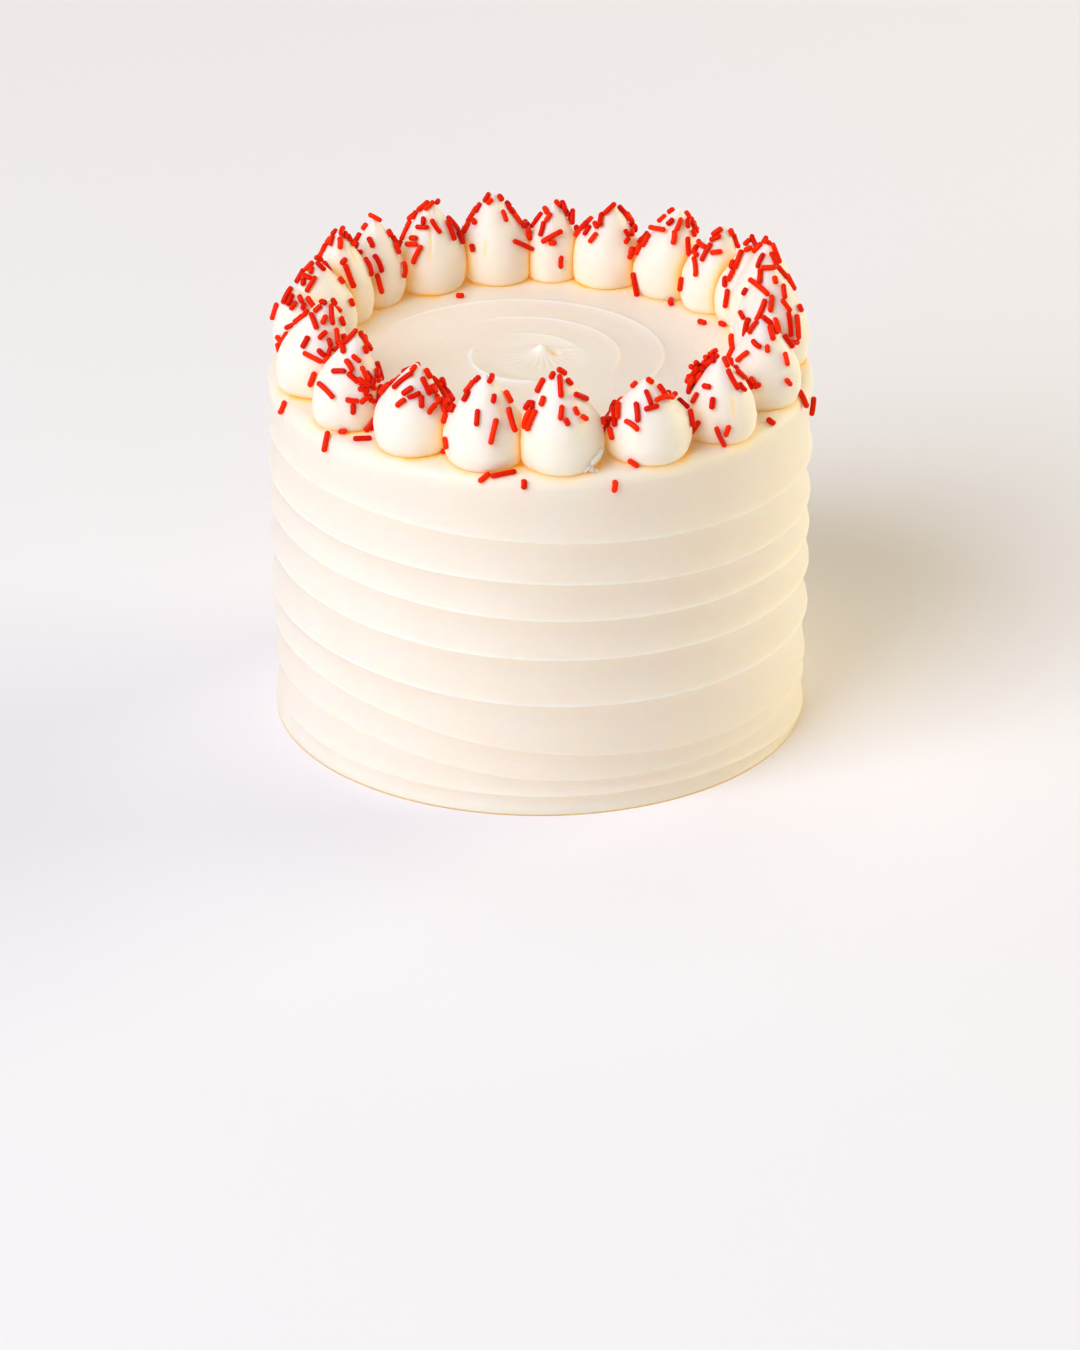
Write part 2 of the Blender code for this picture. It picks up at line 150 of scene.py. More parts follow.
# Piped kisses, anticlockwise from +X: angle, ring radius, width, height, lean along X and Y,
# then sprinkles on the tip, in the valley to the next kiss and on the face towards the front
KISSES = (
    (3.0, 70.5, 23.0, 31.5, -1.2, 0.6, 15, 9, 4),
    (17.0, 71.0, 20.5, 32.0, 1.8, 0.0, 13, 8, 4),
    (29.0, 71.0, 17.0, 25.5, 2.5, -0.5, 9, 9, 4),
    (41.0, 69.0, 18.0, 26.5, 4.6, 0.8, 11, 9, 3),
    (55.5, 69.0, 20.0, 27.0, 4.0, 1.0, 13, 5, 5),
    (72.5, 68.5, 20.5, 25.5, 1.8, -0.6, 14, 13, 4),
    (87.0, 68.5, 15.5, 24.5, 1.0, 0.6, 11, 12, 4),
    (101.0, 69.0, 20.5, 27.5, -1.9, 0.8, 13, 13, 2),
    (119.0, 69.0, 19.5, 28.5, -0.6, -0.5, 12, 8, 4),
    (136.0, 71.0, 18.0, 26.5, 0.2, 0.6, 8, 7, 6),
    (149.0, 70.0, 18.0, 28.5, -1.7, 0.4, 13, 8, 4),
    (160.5, 69.5, 20.0, 24.0, -3.0, 0.5, 14, 8, 5),
    (174.5, 71.0, 20.0, 22.5, -4.2, -0.6, 12, 6, 5),
    (193.0, 71.0, 22.0, 28.5, 5.2, 0.8, 13, 9, 9),
    (215.0, 71.5, 20.0, 28.0, 4.2, 0.5, 8, 15, 8),
    (237.0, 70.5, 21.5, 27.0, 1.8, -0.8, 11, 14, 6),
    (256.5, 71.0, 22.5, 27.0, 0.9, 0.7, 14, 7, 5),
    (275.0, 71.5, 23.5, 29.0, -1.5, 0.5, 13, 13, 5),
    (297.0, 71.5, 24.0, 24.0, -0.9, -0.7, 10, 8, 5),
    (317.5, 73.5, 20.5, 24.0, -0.9, 0.9, 14, 8, 4),
    (340.0, 72.0, 22.0, 25.5, -1.2, 0.4, 14, 8, 5),
)
# Folds in the cream: kiss, angle, lowest and highest height share, depth, half width
KISS_FOLDS = (
    (9, 268.0, 0.34, 0.93, 0.55 * MM, 0.55 * MM),
    (11, 318.0, 0.60, 0.90, 0.45 * MM, 0.6 * MM),
    (17, 306.0, 0.48, 0.80, 0.40 * MM, 0.6 * MM),
    (18, 312.0, 0.42, 0.78, 0.40 * MM, 0.6 * MM),
    (8, 250.0, 0.30, 0.62, 0.25 * MM, 0.7 * MM),
    (14, 300.0, 0.40, 0.75, 0.35 * MM, 0.7 * MM),
    (20, 292.0, 0.30, 0.66, 0.30 * MM, 0.7 * MM),
)
# Painted shade in the folds of the kisses
FOLD_PAINTED_SHADE = 0.45
FOLD_SLANT = 14.0
FOLD_ENDS = 8.0
# Curl of the nib at the very tip: kiss, and how far it hangs over along X, Y and Z in mm
NIB_CURLS = {
    1: (0.6, -0.3, 0.0), 4: (-0.7, -0.2, 0.1), 6: (0.5, -0.4, 0.0), 7: (-0.6, -0.3, 0.1),
    8: (0.5, -0.3, 0.1), 9: (1.5, -0.5, -0.3), 10: (-0.6, -0.2, 0.0), 12: (0.6, -0.4, 0.0),
    14: (0.7, -0.5, 0.0), 15: (-0.7, -0.3, 0.0), 17: (-0.6, -0.4, 0.0), 18: (0.8, -0.4, 0.0),
    19: (-0.8, -0.2, 0.0), 20: (0.6, -0.3, 0.0), 21: (-0.5, -0.4, 0.0),
}
NIB_START = 0.90
KISS_PROFILE = (
    (0.0, 0.80), (0.025, 0.865), (0.08, 0.93), (0.14, 0.975), (0.21, 1.0), (0.29, 1.0),
    (0.36, 0.98), (0.44, 0.94), (0.51, 0.88), (0.58, 0.80), (0.65, 0.71), (0.72, 0.60),
    (0.79, 0.48), (0.85, 0.365), (0.91, 0.235), (0.945, 0.145), (0.97, 0.085), (0.99, 0.05),
)
KISS_SIDES = 72
KISS_ROWS = 44
TIP_CROWDING = 1.15
LEAN_POWER = 1.6
GAP = 0.3 * MM
TOUCH = 0.1 * MM
PRESS_ROUND = 0.35 * MM
WEB_WIDTH = 0.13
WEB_POWER = 6
WEB_TOP = (0.45, 0.75)
KISS_SINK = 0.55 * MM
SINK_TOP = 0.3
KISS_LUMPS = 0.36 * MM
LUMP_SIZE = 9 * MM
FINE_LUMPS = 0.45
FINE_LUMP_SIZE = 3.6 * MM
FINE_SEED = 40
LEAST_GIRTH = 0.002
KISS_SEED = 100
RING_HEIGHT = 0.05
RING_TURNS = 46
CREASE_CORE = 0.7 * MM
CREASE_HALO = 2.6 * MM
CREASE_SPREAD = 0.22
OPEN_CREASE = 0.6
PINCH_REACH = 3.0 * MM
PINCH_PULL = 0.7
CREASE_ROOM = 24 * MM

# Sugar sprinkles
ROD_RADIUS = 0.88 * MM
ROD_SIDES = 8
ROD_LENGTHS = (3.6 * MM, 8.4 * MM)
ROD_BED = 0.80
ROD_TOUCH = 0.93
ROD_PROBES = (0.0, 0.25, 0.5, 0.75, 1.0)
SETTLE_ROUNDS = 16
SETTLED = 0.10 * MM
MOST_OVERLAP = 0.25 * MM
MOST_GAP = 0.5 * MM
CELL = 10 * MM
ABOVE_ALL = 200 * MM
ROD_BEND = 0.05
ROD_THICKNESS = (0.92, 1.06)
CAP_RIM = 0.45
LENGTH_POWER = 1.25
ANY_TWIST = 1.5
TRIES = 8
LEAST_RISE = 4 * MM
# Where unseen sprinkles fall: shares of a kiss's height, spreads in mm, and twists
TIP_SHARES = (0.52, 0.985)
TIP_SPREAD = 0.19
TIP_TWIST = 0.8
TIP_LAYERS = 1.3
FACE_SHARES = (0.30, 0.80)
FACE_REACH = 1.15
FACE_TWIST = 0.5
VALLEY_ACROSS = 1.8
VALLEY_ALONG = 3.0
VALLEY_LEAN = 0.25
VALLEY_LAYERS = 2.2
SPRINKLE_SEED = 41
SEEN_LENGTHS = (2.6 * MM, 9.0 * MM)
SEEN_LIFTS = (0.8, 1.8, 3.0)
SEEN_LAYERS = 3.0
SEEN_CAPS = 0.5 * MM
HEAP_RODS = 22
HEAP_REACH = 4.5 * MM
HEAP_NEIGHBOURS = 4
HEAP_LAYERS = 2.3
HEAP_SPREAD = 1.6
HEAP_LIFT = 2.0
HEAP_LENGTH = 0.8
LEAST_SHOWN = 0.55
SEARCH_STEP = 1.5 * MM
SEARCH_STEPS = 70
KISS_FOOT = 1.5 * MM
HIDDEN_MARGIN = 1.3 * MM
HIDDEN_START = 0.3 * MM

# Unseen strays on the side: angle, height, length, turn from upright
SIDE_STRAYS = (
    (24.0, 106.0, 5.8, 30.0),
    (97.0, 104.0, 6.4, -12.0),
    (131.0, 107.0, 5.0, 58.0),
)
# Cream smears between two front kisses, each through pixels of the photo
SMEARS = (
    ((609, 435), (605, 442), (600, 451), (594, 459), (589, 465), (584, 472)),
    ((588, 463), (590, 468), (594, 471), (599, 472)),
)
SMEAR_WIDTH = 1.0 * MM
SMEAR_RISE = 0.85 * MM
# Painted shade laid evenly over each smear
SMEAR_PAINTED_SHADE = 0.08
SMEAR_BED = 0.3
SMEAR_KNUCKLES = 0.4

# Colours
COMBED_CREAM = (0.93, 0.812, 0.672, 1.0)
PIPED_CREAM = (0.94, 0.852, 0.722, 1.0)
CREAM_MOTTLE = (0.99, 0.98, 0.955, 1.0)
# Painted shade and glow, mixed into the cream colour in creases
CREASE_GLOW = (0.98, 0.56, 0.07, 1.0)
# Painted highlight where the painted shade falls below 0: the ridge's lips, the swirl's crests and its
# peak
LIP_PAINTED_HIGHLIGHT = (1.0, 0.97, 0.90, 1.0)
# Painted glow given out as light by the creases, faint in the open and strong deep in a crease
OPEN_PAINTED_GLOW = (0.15, 0.13, 0.075, 1.0)
CREASE_PAINTED_GLOW = (0.17, 0.07, 0.0, 1.0)
DARK_RED = (0.70, 0.006, 0.0005, 1.0)
LIGHT_RED = (1.0, 0.028, 0.0005, 1.0)
WHITE = (1, 1, 1, 1)
BLACK = (0.0, 0.0, 0.0, 1.0)

# Studio. Lights: name, place, size, power and colour
LIGHTS = (
    ("key", (-2.17, -2.17, 2.57), 3.0, 143.0, (0.93, 1.02, 1.25)),
    ("bounce", (2.6, 1.0, 0.9), 2.0, 58.0, (1.0, 0.95, 0.72)),
    ("top", (0.0, 2.0, 3.46), 2.0, 20.0, (1.0, 1.0, 1.0)),
)
LIGHT_AIM = Vector((0.0, 0.0, 0.06))
SKY_COLOUR = (1.0, 0.89, 0.67, 1.0)
SKY_STRENGTH = 0.27
FLOOR_RADIUS = 6.0
FLOOR_GREYS = ((0.89, 0.85, 0.845, 1.0), (0.91, 0.87, 0.865, 1.0))

# Sprinkles that the photo shows, each by its two ends as pixels of the 1080 by 1350 photo
SEEN_SPRINKLES = (
    # Back kisses, from the left
    (449, 216, 455, 233), (445, 221, 454, 240), (459, 232, 459, 245), (418, 210, 431, 205),
    (424, 209, 433, 201), (437, 204, 440, 202), (403, 226, 397, 238), (407, 220, 402, 225),
    (417, 216, 409, 224), (411, 213, 415, 216), (424, 219, 424, 223), (417, 226, 429, 226),
    (431, 220, 440, 233), (411, 238, 418, 239), (407, 244, 418, 245), (422, 246, 413, 263),
    (490, 194, 486, 203), (488, 203, 492, 201), (472, 206, 476, 212), (483, 205, 476, 212),
    (477, 214, 466, 220), (474, 221, 477, 223), (472, 224, 464, 232), (461, 228, 468, 235),
    (458, 232, 460, 239), (460, 237, 467, 241), (461, 243, 467, 245), (473, 244, 474, 251),
    (459, 250, 472, 251), (498, 196, 500, 202), (505, 203, 508, 208), (505, 206, 512, 213),
    (511, 207, 512, 211), (511, 212, 518, 223), (502, 211, 505, 222), (512, 243, 534, 247),
    (519, 234, 535, 226), (521, 229, 527, 226), (525, 236, 536, 233), (527, 223, 536, 222),
    (543, 214, 535, 221), (545, 209, 550, 213), (554, 203, 558, 205), (560, 205, 564, 206),
    (545, 210, 553, 208), (555, 208, 566, 208), (548, 212, 549, 221), (568, 204, 569, 213),
    (567, 211, 567, 226), (545, 222, 541, 236), (542, 242, 562, 231), (550, 242, 555, 243),
    (560, 256, 561, 267), (575, 215, 581, 217), (575, 224, 583, 222), (573, 229, 578, 239),
    (579, 230, 580, 237), (591, 218, 585, 223), (586, 222, 585, 229), (592, 227, 585, 235),
    (598, 234, 590, 242), (595, 223, 599, 228), (603, 215, 598, 228), (615, 205, 604, 215),
    (618, 209, 623, 209), (621, 211, 628, 221), (626, 212, 635, 218), (628, 219, 635, 221),
    (636, 221, 639, 227), (628, 225, 636, 228), (623, 231, 628, 236), (632, 230, 629, 236),
    (628, 238, 624, 243), (639, 230, 645, 240), (640, 239, 643, 243), (651, 235, 644, 247),
    (642, 246, 637, 255), (634, 248, 627, 258), (637, 251, 637, 256), (640, 273, 634, 295),
    (670, 213, 673, 210), (657, 215, 665, 220), (674, 220, 668, 225), (652, 226, 665, 233),
    (681, 219, 676, 231), (675, 231, 673, 244), (689, 211, 687, 217), (688, 219, 685, 228),
    (702, 212, 696, 220), (693, 221, 700, 226), (699, 223, 700, 229), (690, 231, 694, 236),
    (683, 242, 693, 257), (693, 258, 699, 276), (699, 242, 707, 248), (698, 246, 697, 252),
    (695, 252, 698, 259), (712, 244, 702, 261), (711, 253, 722, 252), (723, 230, 713, 235),
    (720, 233, 711, 240), (684, 278, 681, 291),
    # Kisses at the right
    (727, 231, 732, 235), (734, 236, 745, 244), (740, 236, 746, 240), (749, 240, 764, 242),
    (759, 238, 766, 238), (766, 241, 770, 243), (769, 244, 779, 262), (770, 253, 777, 267),
    (764, 254, 758, 268), (745, 251, 752, 248), (752, 248, 764, 249), (743, 251, 736, 269),
    (734, 261, 733, 269), (736, 271, 728, 280), (726, 277, 727, 287), (730, 290, 725, 307),
    (762, 268, 776, 268), (775, 269, 787, 278), (762, 269, 762, 283), (751, 279, 770, 294),
    (774, 277, 775, 284), (782, 278, 796, 287), (783, 285, 783, 299), (772, 296, 770, 312),
    (780, 301, 790, 311), (796, 306, 801, 311), (744, 295, 749, 290), (740, 313, 747, 317),
    (752, 319, 744, 336), (759, 322, 750, 334), (766, 300, 757, 321), (761, 319, 771, 325),
    (770, 326, 771, 341), (774, 325, 774, 335), (774, 318, 779, 334), (786, 312, 791, 336),
    (794, 315, 798, 339), (782, 335, 798, 340), (782, 337, 792, 348), (753, 341, 761, 348),
    (767, 346, 767, 352), (784, 353, 786, 366), (784, 380, 790, 384),
    # Front kisses, from the right
    (712, 350, 711, 363), (702, 358, 711, 362), (716, 357, 711, 363), (701, 368, 711, 368),
    (693, 362, 698, 371), (687, 372, 696, 371), (699, 372, 689, 379), (679, 381, 694, 379),
    (738, 335, 730, 348), (731, 347, 723, 355), (723, 358, 726, 368), (727, 370, 737, 390),
    (737, 385, 745, 390), (734, 377, 745, 374), (730, 360, 735, 365), (736, 367, 740, 371),
    (745, 377, 753, 388), (749, 379, 753, 384), (753, 382, 756, 386), (737, 360, 750, 354),
    (704, 386, 711, 388), (699, 394, 693, 403), (713, 398, 712, 409), (719, 427, 720, 450),
    (728, 425, 726, 435), (679, 384, 673, 396), (682, 387, 689, 385), (696, 381, 686, 393),
    (677, 406, 689, 401), (689, 410, 690, 427), (691, 431, 701, 422), (621, 396, 615, 403),
    (616, 404, 623, 418), (613, 408, 620, 426), (636, 403, 639, 422), (626, 421, 639, 430),
    (646, 391, 651, 405), (644, 408, 657, 403), (655, 403, 672, 396), (658, 386, 664, 397),
    (652, 382, 666, 386), (646, 380, 652, 384), (637, 378, 643, 382), (633, 388, 638, 384),
    (667, 388, 670, 393), (631, 457, 637, 466), (594, 411, 603, 410), (598, 415, 606, 417),
    (600, 418, 602, 424), (602, 423, 605, 435), (606, 396, 608, 414), (613, 418, 607, 427),
    (611, 427, 614, 439), (543, 379, 541, 394), (554, 373, 553, 380), (556, 374, 565, 372),
    (560, 376, 560, 398), (565, 373, 577, 383), (563, 376, 569, 382), (565, 381, 571, 385),
    (577, 384, 590, 398), (573, 399, 586, 396), (590, 397, 596, 406), (588, 398, 593, 397),
    (562, 406, 560, 420), (565, 419, 568, 425), (573, 408, 577, 415), (581, 417, 586, 419),
    (545, 397, 542, 406), (525, 408, 534, 404), (533, 402, 535, 409), (534, 411, 524, 428),
    (539, 412, 526, 429), (482, 375, 480, 381), (476, 381, 481, 380), (466, 390, 478, 384),
    (487, 383, 492, 376), (494, 381, 510, 394), (502, 393, 511, 402), (513, 398, 522, 414),
    (494, 395, 492, 403), (478, 410, 477, 426), (496, 419, 490, 444), (507, 408, 514, 432),
    (469, 391, 466, 402), (458, 395, 464, 399), (434, 375, 440, 382), (436, 373, 445, 383),
    (442, 383, 457, 392), (445, 388, 458, 397), (439, 391, 452, 400), (431, 385, 435, 393),
    (436, 395, 436, 404), (435, 405, 427, 413), (441, 398, 442, 414), (446, 402, 462, 407),
    (451, 404, 451, 414), (450, 416, 443, 422), (455, 405, 453, 413), (445, 438, 450, 448),
    (437, 459, 443, 454), (423, 353, 421, 366), (401, 361, 418, 362), (404, 365, 406, 370),
    (416, 366, 412, 372), (415, 376, 393, 386), (401, 376, 390, 381), (389, 382, 381, 394),
    (413, 388, 403, 394), (420, 393, 408, 398), (406, 400, 397, 406), (421, 396, 421, 408),
    (421, 378, 429, 395), (424, 370, 429, 379), (430, 386, 434, 393),
    # Kisses at the left
    (384, 361, 386, 365), (380, 365, 388, 378), (378, 370, 372, 376), (378, 376, 375, 382),
    (379, 384, 375, 413), (382, 392, 387, 382), (364, 373, 373, 381), (369, 381, 374, 389),
    (365, 385, 365, 395), (369, 399, 373, 401), (359, 401, 371, 396), (346, 399, 358, 401),
    (353, 404, 353, 413), (360, 333, 345, 341), (358, 333, 370, 347), (372, 347, 377, 342),
    (377, 341, 372, 333), (362, 347, 366, 353), (352, 356, 360, 362), (346, 360, 353, 371),
    (333, 371, 346, 372), (348, 373, 358, 382), (358, 382, 364, 383), (318, 384, 336, 396),
    (315, 372, 310, 385), (371, 416, 367, 432), (367, 424, 362, 436), (279, 304, 274, 320),
    (293, 288, 284, 304), (292, 294, 289, 306), (296, 302, 291, 310), (299, 296, 301, 303),
    (304, 304, 302, 310), (306, 298, 315, 311), (295, 318, 305, 323), (297, 324, 286, 328),
    (289, 333, 283, 339), (277, 337, 286, 343), (281, 343, 279, 351), (307, 311, 308, 317),
    (311, 314, 318, 329), (315, 312, 322, 307), (322, 302, 326, 304), (330, 301, 334, 305),
    (331, 305, 331, 325), (334, 308, 340, 311), (326, 316, 322, 324), (337, 319, 344, 324),
    (309, 337, 303, 348), (326, 332, 319, 339), (336, 329, 336, 345), (328, 339, 330, 347),
    (330, 348, 327, 356), (318, 350, 325, 356), (304, 353, 322, 362), (341, 335, 344, 341),
    (342, 342, 347, 353), (332, 350, 341, 344), (322, 361, 326, 358), (334, 229, 335, 236),
    (344, 228, 338, 234), (344, 232, 343, 239), (347, 236, 347, 241), (333, 236, 333, 246),
    (340, 238, 340, 249), (327, 235, 325, 242), (325, 242, 320, 248), (331, 239, 326, 245),
    (325, 247, 311, 252), (316, 256, 321, 262), (324, 262, 332, 271), (316, 263, 324, 271),
    (315, 264, 306, 270), (312, 268, 312, 273), (303, 269, 297, 283), (304, 275, 312, 279),
    (305, 279, 305, 285), (316, 277, 307, 292), (346, 259, 341, 264), (344, 265, 354, 287),
    (338, 279, 342, 284), (348, 300, 352, 306), (352, 237, 356, 240), (351, 241, 351, 246),
    (357, 233, 353, 236), (359, 243, 356, 249), (357, 252, 363, 253), (369, 215, 379, 224),
    (363, 228, 366, 225), (369, 238, 374, 247), (374, 255, 382, 272), (376, 274, 382, 292),
    (362, 259, 371, 276), (385, 232, 391, 236), (390, 239, 396, 241), (405, 240, 397, 245),
    (393, 244, 398, 254), (400, 262, 404, 277),
)
# Strays that the photo shows on the top, the shoulder and the side
SEEN_STRAYS = (
    (457, 297, 463, 298), (671, 300, 671, 307), (700, 321, 704, 327), (721, 324, 727, 327),
    (284, 402, 284, 415), (329, 432, 326, 452), (345, 428, 341, 433), (354, 442, 371, 439),
    (489, 474, 480, 483), (492, 480, 515, 471), (524, 480, 524, 489), (614, 480, 614, 491),
    (767, 420, 773, 426), (802, 391, 801, 409), (811, 397, 810, 415),
)


def ease(share):
    """Smooth rise from 0 to 1, level at both ends."""
    share = min(1.0, max(0.0, share))
    return share * share * (3.0 - 2.0 * share)


def cusp(share):
    """Hollow curve that falls from a sharp ridge to the middle of its channel."""
    return max(0.0, 1.0 - share) ** 2


def polar(radius, turn, height):
    """Point at a radius, an angle and a height."""
    return Vector((radius * math.cos(turn), radius * math.sin(turn), height))


def wobble(place, size, seed):
    """Soft random height between -1 and 1, with bumps of about one size."""
    return noise.noise(place / size + Vector((seed, 0.0, 0.0)))


def swell(place, row):
    """Soft unevenness of the icing at a place."""
    height, size, seed = row
    return height * wobble(place, size, seed)


def crease_depth(distance):
    """How much painted shade and glow a crease gets at a distance from its bottom: a narrow core in a
    soft halo.
    """
    distance = max(0.0, distance)
    core, halo = math.exp(-distance / CREASE_CORE), math.exp(-distance / CREASE_HALO)
    return core + (halo - core) * CREASE_SPREAD


# Icing on the side


def ridge_knots():
    """Heights of the ridge at every eighth of a turn, the unseen back climbing evenly."""
    ends = [lap[0] * MM for lap in RIDGE_LAPS[1:]] + [RIM_START]
    knots = []
    for lap, end in zip(RIDGE_LAPS, ends):
        left = lap[-1] * MM
        knots += [height * MM for height in lap]
        knots += [left + (end - left) * step / BACK_STEPS for step in range(1, BACK_STEPS)]
    return knots + [RIM_START]


KNOTS = ridge_knots()


def ridge_height(winding):
    """Height of the ridge after so many laps, on a smooth curve through its knots."""
    place = winding * STEPS_PER_LAP
    i = min(int(place), len(KNOTS) - 2)
    part = place - i
    before, low, high = KNOTS[max(i - 1, 0)], KNOTS[i], KNOTS[i + 1]
    after = KNOTS[min(i + 2, len(KNOTS) - 1)]
    cubic = 3 * (low - high) + after - before
    square = 2 * before - 5 * low + 4 * high - after
    return low + 0.5 * part * (high - before + part * (square + part * cubic))


def strength_at(strengths, winding):
    """A strength after so many laps, read between the laps' own."""
    lap = min(int(winding), len(RIDGE_LAPS) - 1)
    return strengths[lap] + (strengths[lap + 1] - strengths[lap]) * (winding - lap)


def wall_radius(height):
    """Radius of the side where the ridge stands."""
    return FOOT_RADIUS + (SHOULDER_RADIUS - FOOT_RADIUS) * height / CAKE_HEIGHT


class SideColumn:
    """The upright line of the side at one share of a lap."""

    def __init__(self, lap_share):
        laps = [lap + lap_share for lap in range(len(RIDGE_LAPS))]
        self.turn = -math.tau * lap_share
        self.lap_share = lap_share
        self.edges = [FOOT_BEVEL] + [ridge_height(lap) for lap in laps] + [RIM_START]
        self.stands = [strength_at(LAP_STRENGTHS, lap) for lap in laps]
        self.stands = [LAP_STRENGTHS[0]] + self.stands + [LAP_STRENGTHS[-1]]
        self.lips = [0.0] + [strength_at(LIP_STRENGTHS, lap) for lap in laps] + [0.0]

    def point(self, band, share):
        """Point on the side, and the painted shade it gets, below 0 for the painted highlight on a
        lip.
        """
        low, high = self.edges[band], self.edges[band + 1]
        height = low + (high - low) * share
        smooth = ease(band + self.lap_share - len(RIDGE_LAPS) + 1)
        upper = cusp(2 * (1 - share)) * (1 - smooth) + ease(share) * smooth
        stand = self.stands[band] * cusp(2 * share) + self.stands[band + 1] * upper
        radius = wall_radius(height) - CHANNEL_DEPTH * (1 - stand)
        above, below = height - low, high - height
        ragged = LIP_LEVEL + swell(polar(radius, self.turn, height), LIP_RAGS)
        lip = self.lips[band] * math.exp(-above / LIP_ABOVE)
        lip += self.lips[band + 1] * math.exp(-below / LIP_BELOW)
        radius += LIP_DEPTH * lip * ragged
        place = polar(radius, self.turn, height)
        uneven = swell(place, LONG_SWELL) + swell(place, SHORT_SWELL)
        shade = self.shade(band, height, below) - LIP_LIGHT * max(lip - LIP_LEAST, 0.0) * ragged
        return polar(radius + uneven * ease(height / SWELL_START), self.turn, height), shade

    def shade(self, band, height, below):
        """How much painted shade a place gets under a lip, or by the foot."""
        under = math.exp(-below / SHADE_REACH) * min(1.0, below / SHADE_START)
        foot = math.exp(-height / FOOT_REACH)
        return max(LIP_SHADE * self.lips[band + 1] * under, FOOT_SHADE * foot)


# Icing on the top


def arc_relief(arc, radius, degrees):
    """What one spatula arc adds at a place on the top: height of its crest and bank, and its painted
    shade, below 0 a painted highlight.
    """
    first, last, first_radius, last_radius, height, first_painted_shade, last_painted_shade = arc
    degrees = first + (degrees - first) % 360.0
    if degrees > last:
        return 0.0, 0.0
    share = (degrees - first) / (last - first)
    away = abs(radius - first_radius - (last_radius - first_radius) * share)
    fade = ease(min((degrees - first) / SWIRL_FADE, (last - degrees) / SWIRL_FADE))
    bank = ARC_BANK * math.exp(-((away / ARC_FLANK) ** 2))
    painted_shade = first_painted_shade + (last_painted_shade - first_painted_shade) * ease(1.6 * share - 0.1)
    painted_shade *= fade * math.exp(-((away / ARC_CREST) ** 2))
    return height * fade * (bank + (1 - ARC_BANK) * math.exp(-away / ARC_CREST)), painted_shade


def bump(distance, row, power):
    """Height of a round bump at a distance from its middle."""
    height, width = row
    return height * math.exp(-((distance / width) ** power))


def oval_spot(side, deep, row):
    """Height, painted shade or painted highlight of an oval spot at a place."""
    height, middle_side, middle_deep, wide, long = row
    return height * math.exp(-((side - middle_side) ** 2 / wide + (deep - middle_deep) ** 2 / long))


def swirl_tail(side, deep):
    """The small ridge that the blade drew out to the right of the peak."""
    behind, slant = TAIL_PLACE
    end, fade = TAIL_END
    ridge = math.exp(-abs(deep - behind - slant * side) / TAIL_WIDTH)
    return TAIL_HEIGHT * ridge * ease(side / TAIL_START) * ease((end - side) / fade)


def swirl_streaks(distance, turn):
    """The fine streaks in front of the peak."""
    middle, reach = STREAK_PLACE
    streaks = math.sin(turn * STREAK_COUNT + STREAK_TWIST * distance)
    streaks *= math.exp(-((distance - middle) / reach) ** 2)
    return STREAK_HEIGHT * streaks * ease(-math.sin(turn) * 2.0)


def swirl_centre(x, y, side, deep):
    """The lifted peak of icing at the middle of the swirl, with its hollow and its small ridge."""
    distance = math.hypot(side, deep)
    edge, slope = BOWL_EDGE
    relief = bump(distance, PEAK_BUMP, 1.5) + bump(distance, PEAK_FOOT, 2)
    relief -= oval_spot(side, deep, DIMPLE)
    relief += swirl_tail(side, deep)
    relief += swirl_streaks(distance, math.atan2(deep, side))
    scooped = math.hypot(x - BOWL_CENTRE[0], y - BOWL_CENTRE[1]) / MM
    relief -= BOWL_DEPTH * ease((edge - scooped) / slope)
    return relief * MM


def top_relief(x, y):
    """Height of the swirl above the flat of the top, and its painted shade, below 0 a painted
    highlight.
    """
    radius = math.hypot(x, y)
    if radius >= SWIRL_LIMIT:
        return 0.0, 0.0
    degrees = math.degrees(math.atan2(y, x))
    arcs = [arc_relief(arc, radius, degrees) for arc in SWIRL_ARCS]
    side, deep = (x - SWIRL_PEAK.x) / MM, (y - SWIRL_PEAK.y) / MM
    relief = sum(height for height, _ in arcs) + swirl_centre(x, y, side, deep)
    painted_shade = sum(painted_shade for _, painted_shade in arcs)
    painted_shade += oval_spot(side, deep, DIMPLE_PAINTED_SHADE) - oval_spot(side, deep, PEAK_PAINTED_HIGHLIGHT)
    return relief * ease((SWIRL_LIMIT - radius) / SWIRL_EDGE), painted_shade


def top_point(radius, turn):
    """Point on the top, and its painted shade, below 0 a painted highlight."""
    x, y = radius * math.cos(turn), radius * math.sin(turn)
    relief, painted_shade = top_relief(x, y)
    place = Vector((x, y, CAKE_HEIGHT + relief))
    place.z += swell(place, TOP_SWELL)
    return place, painted_shade + crease_on_top(place)


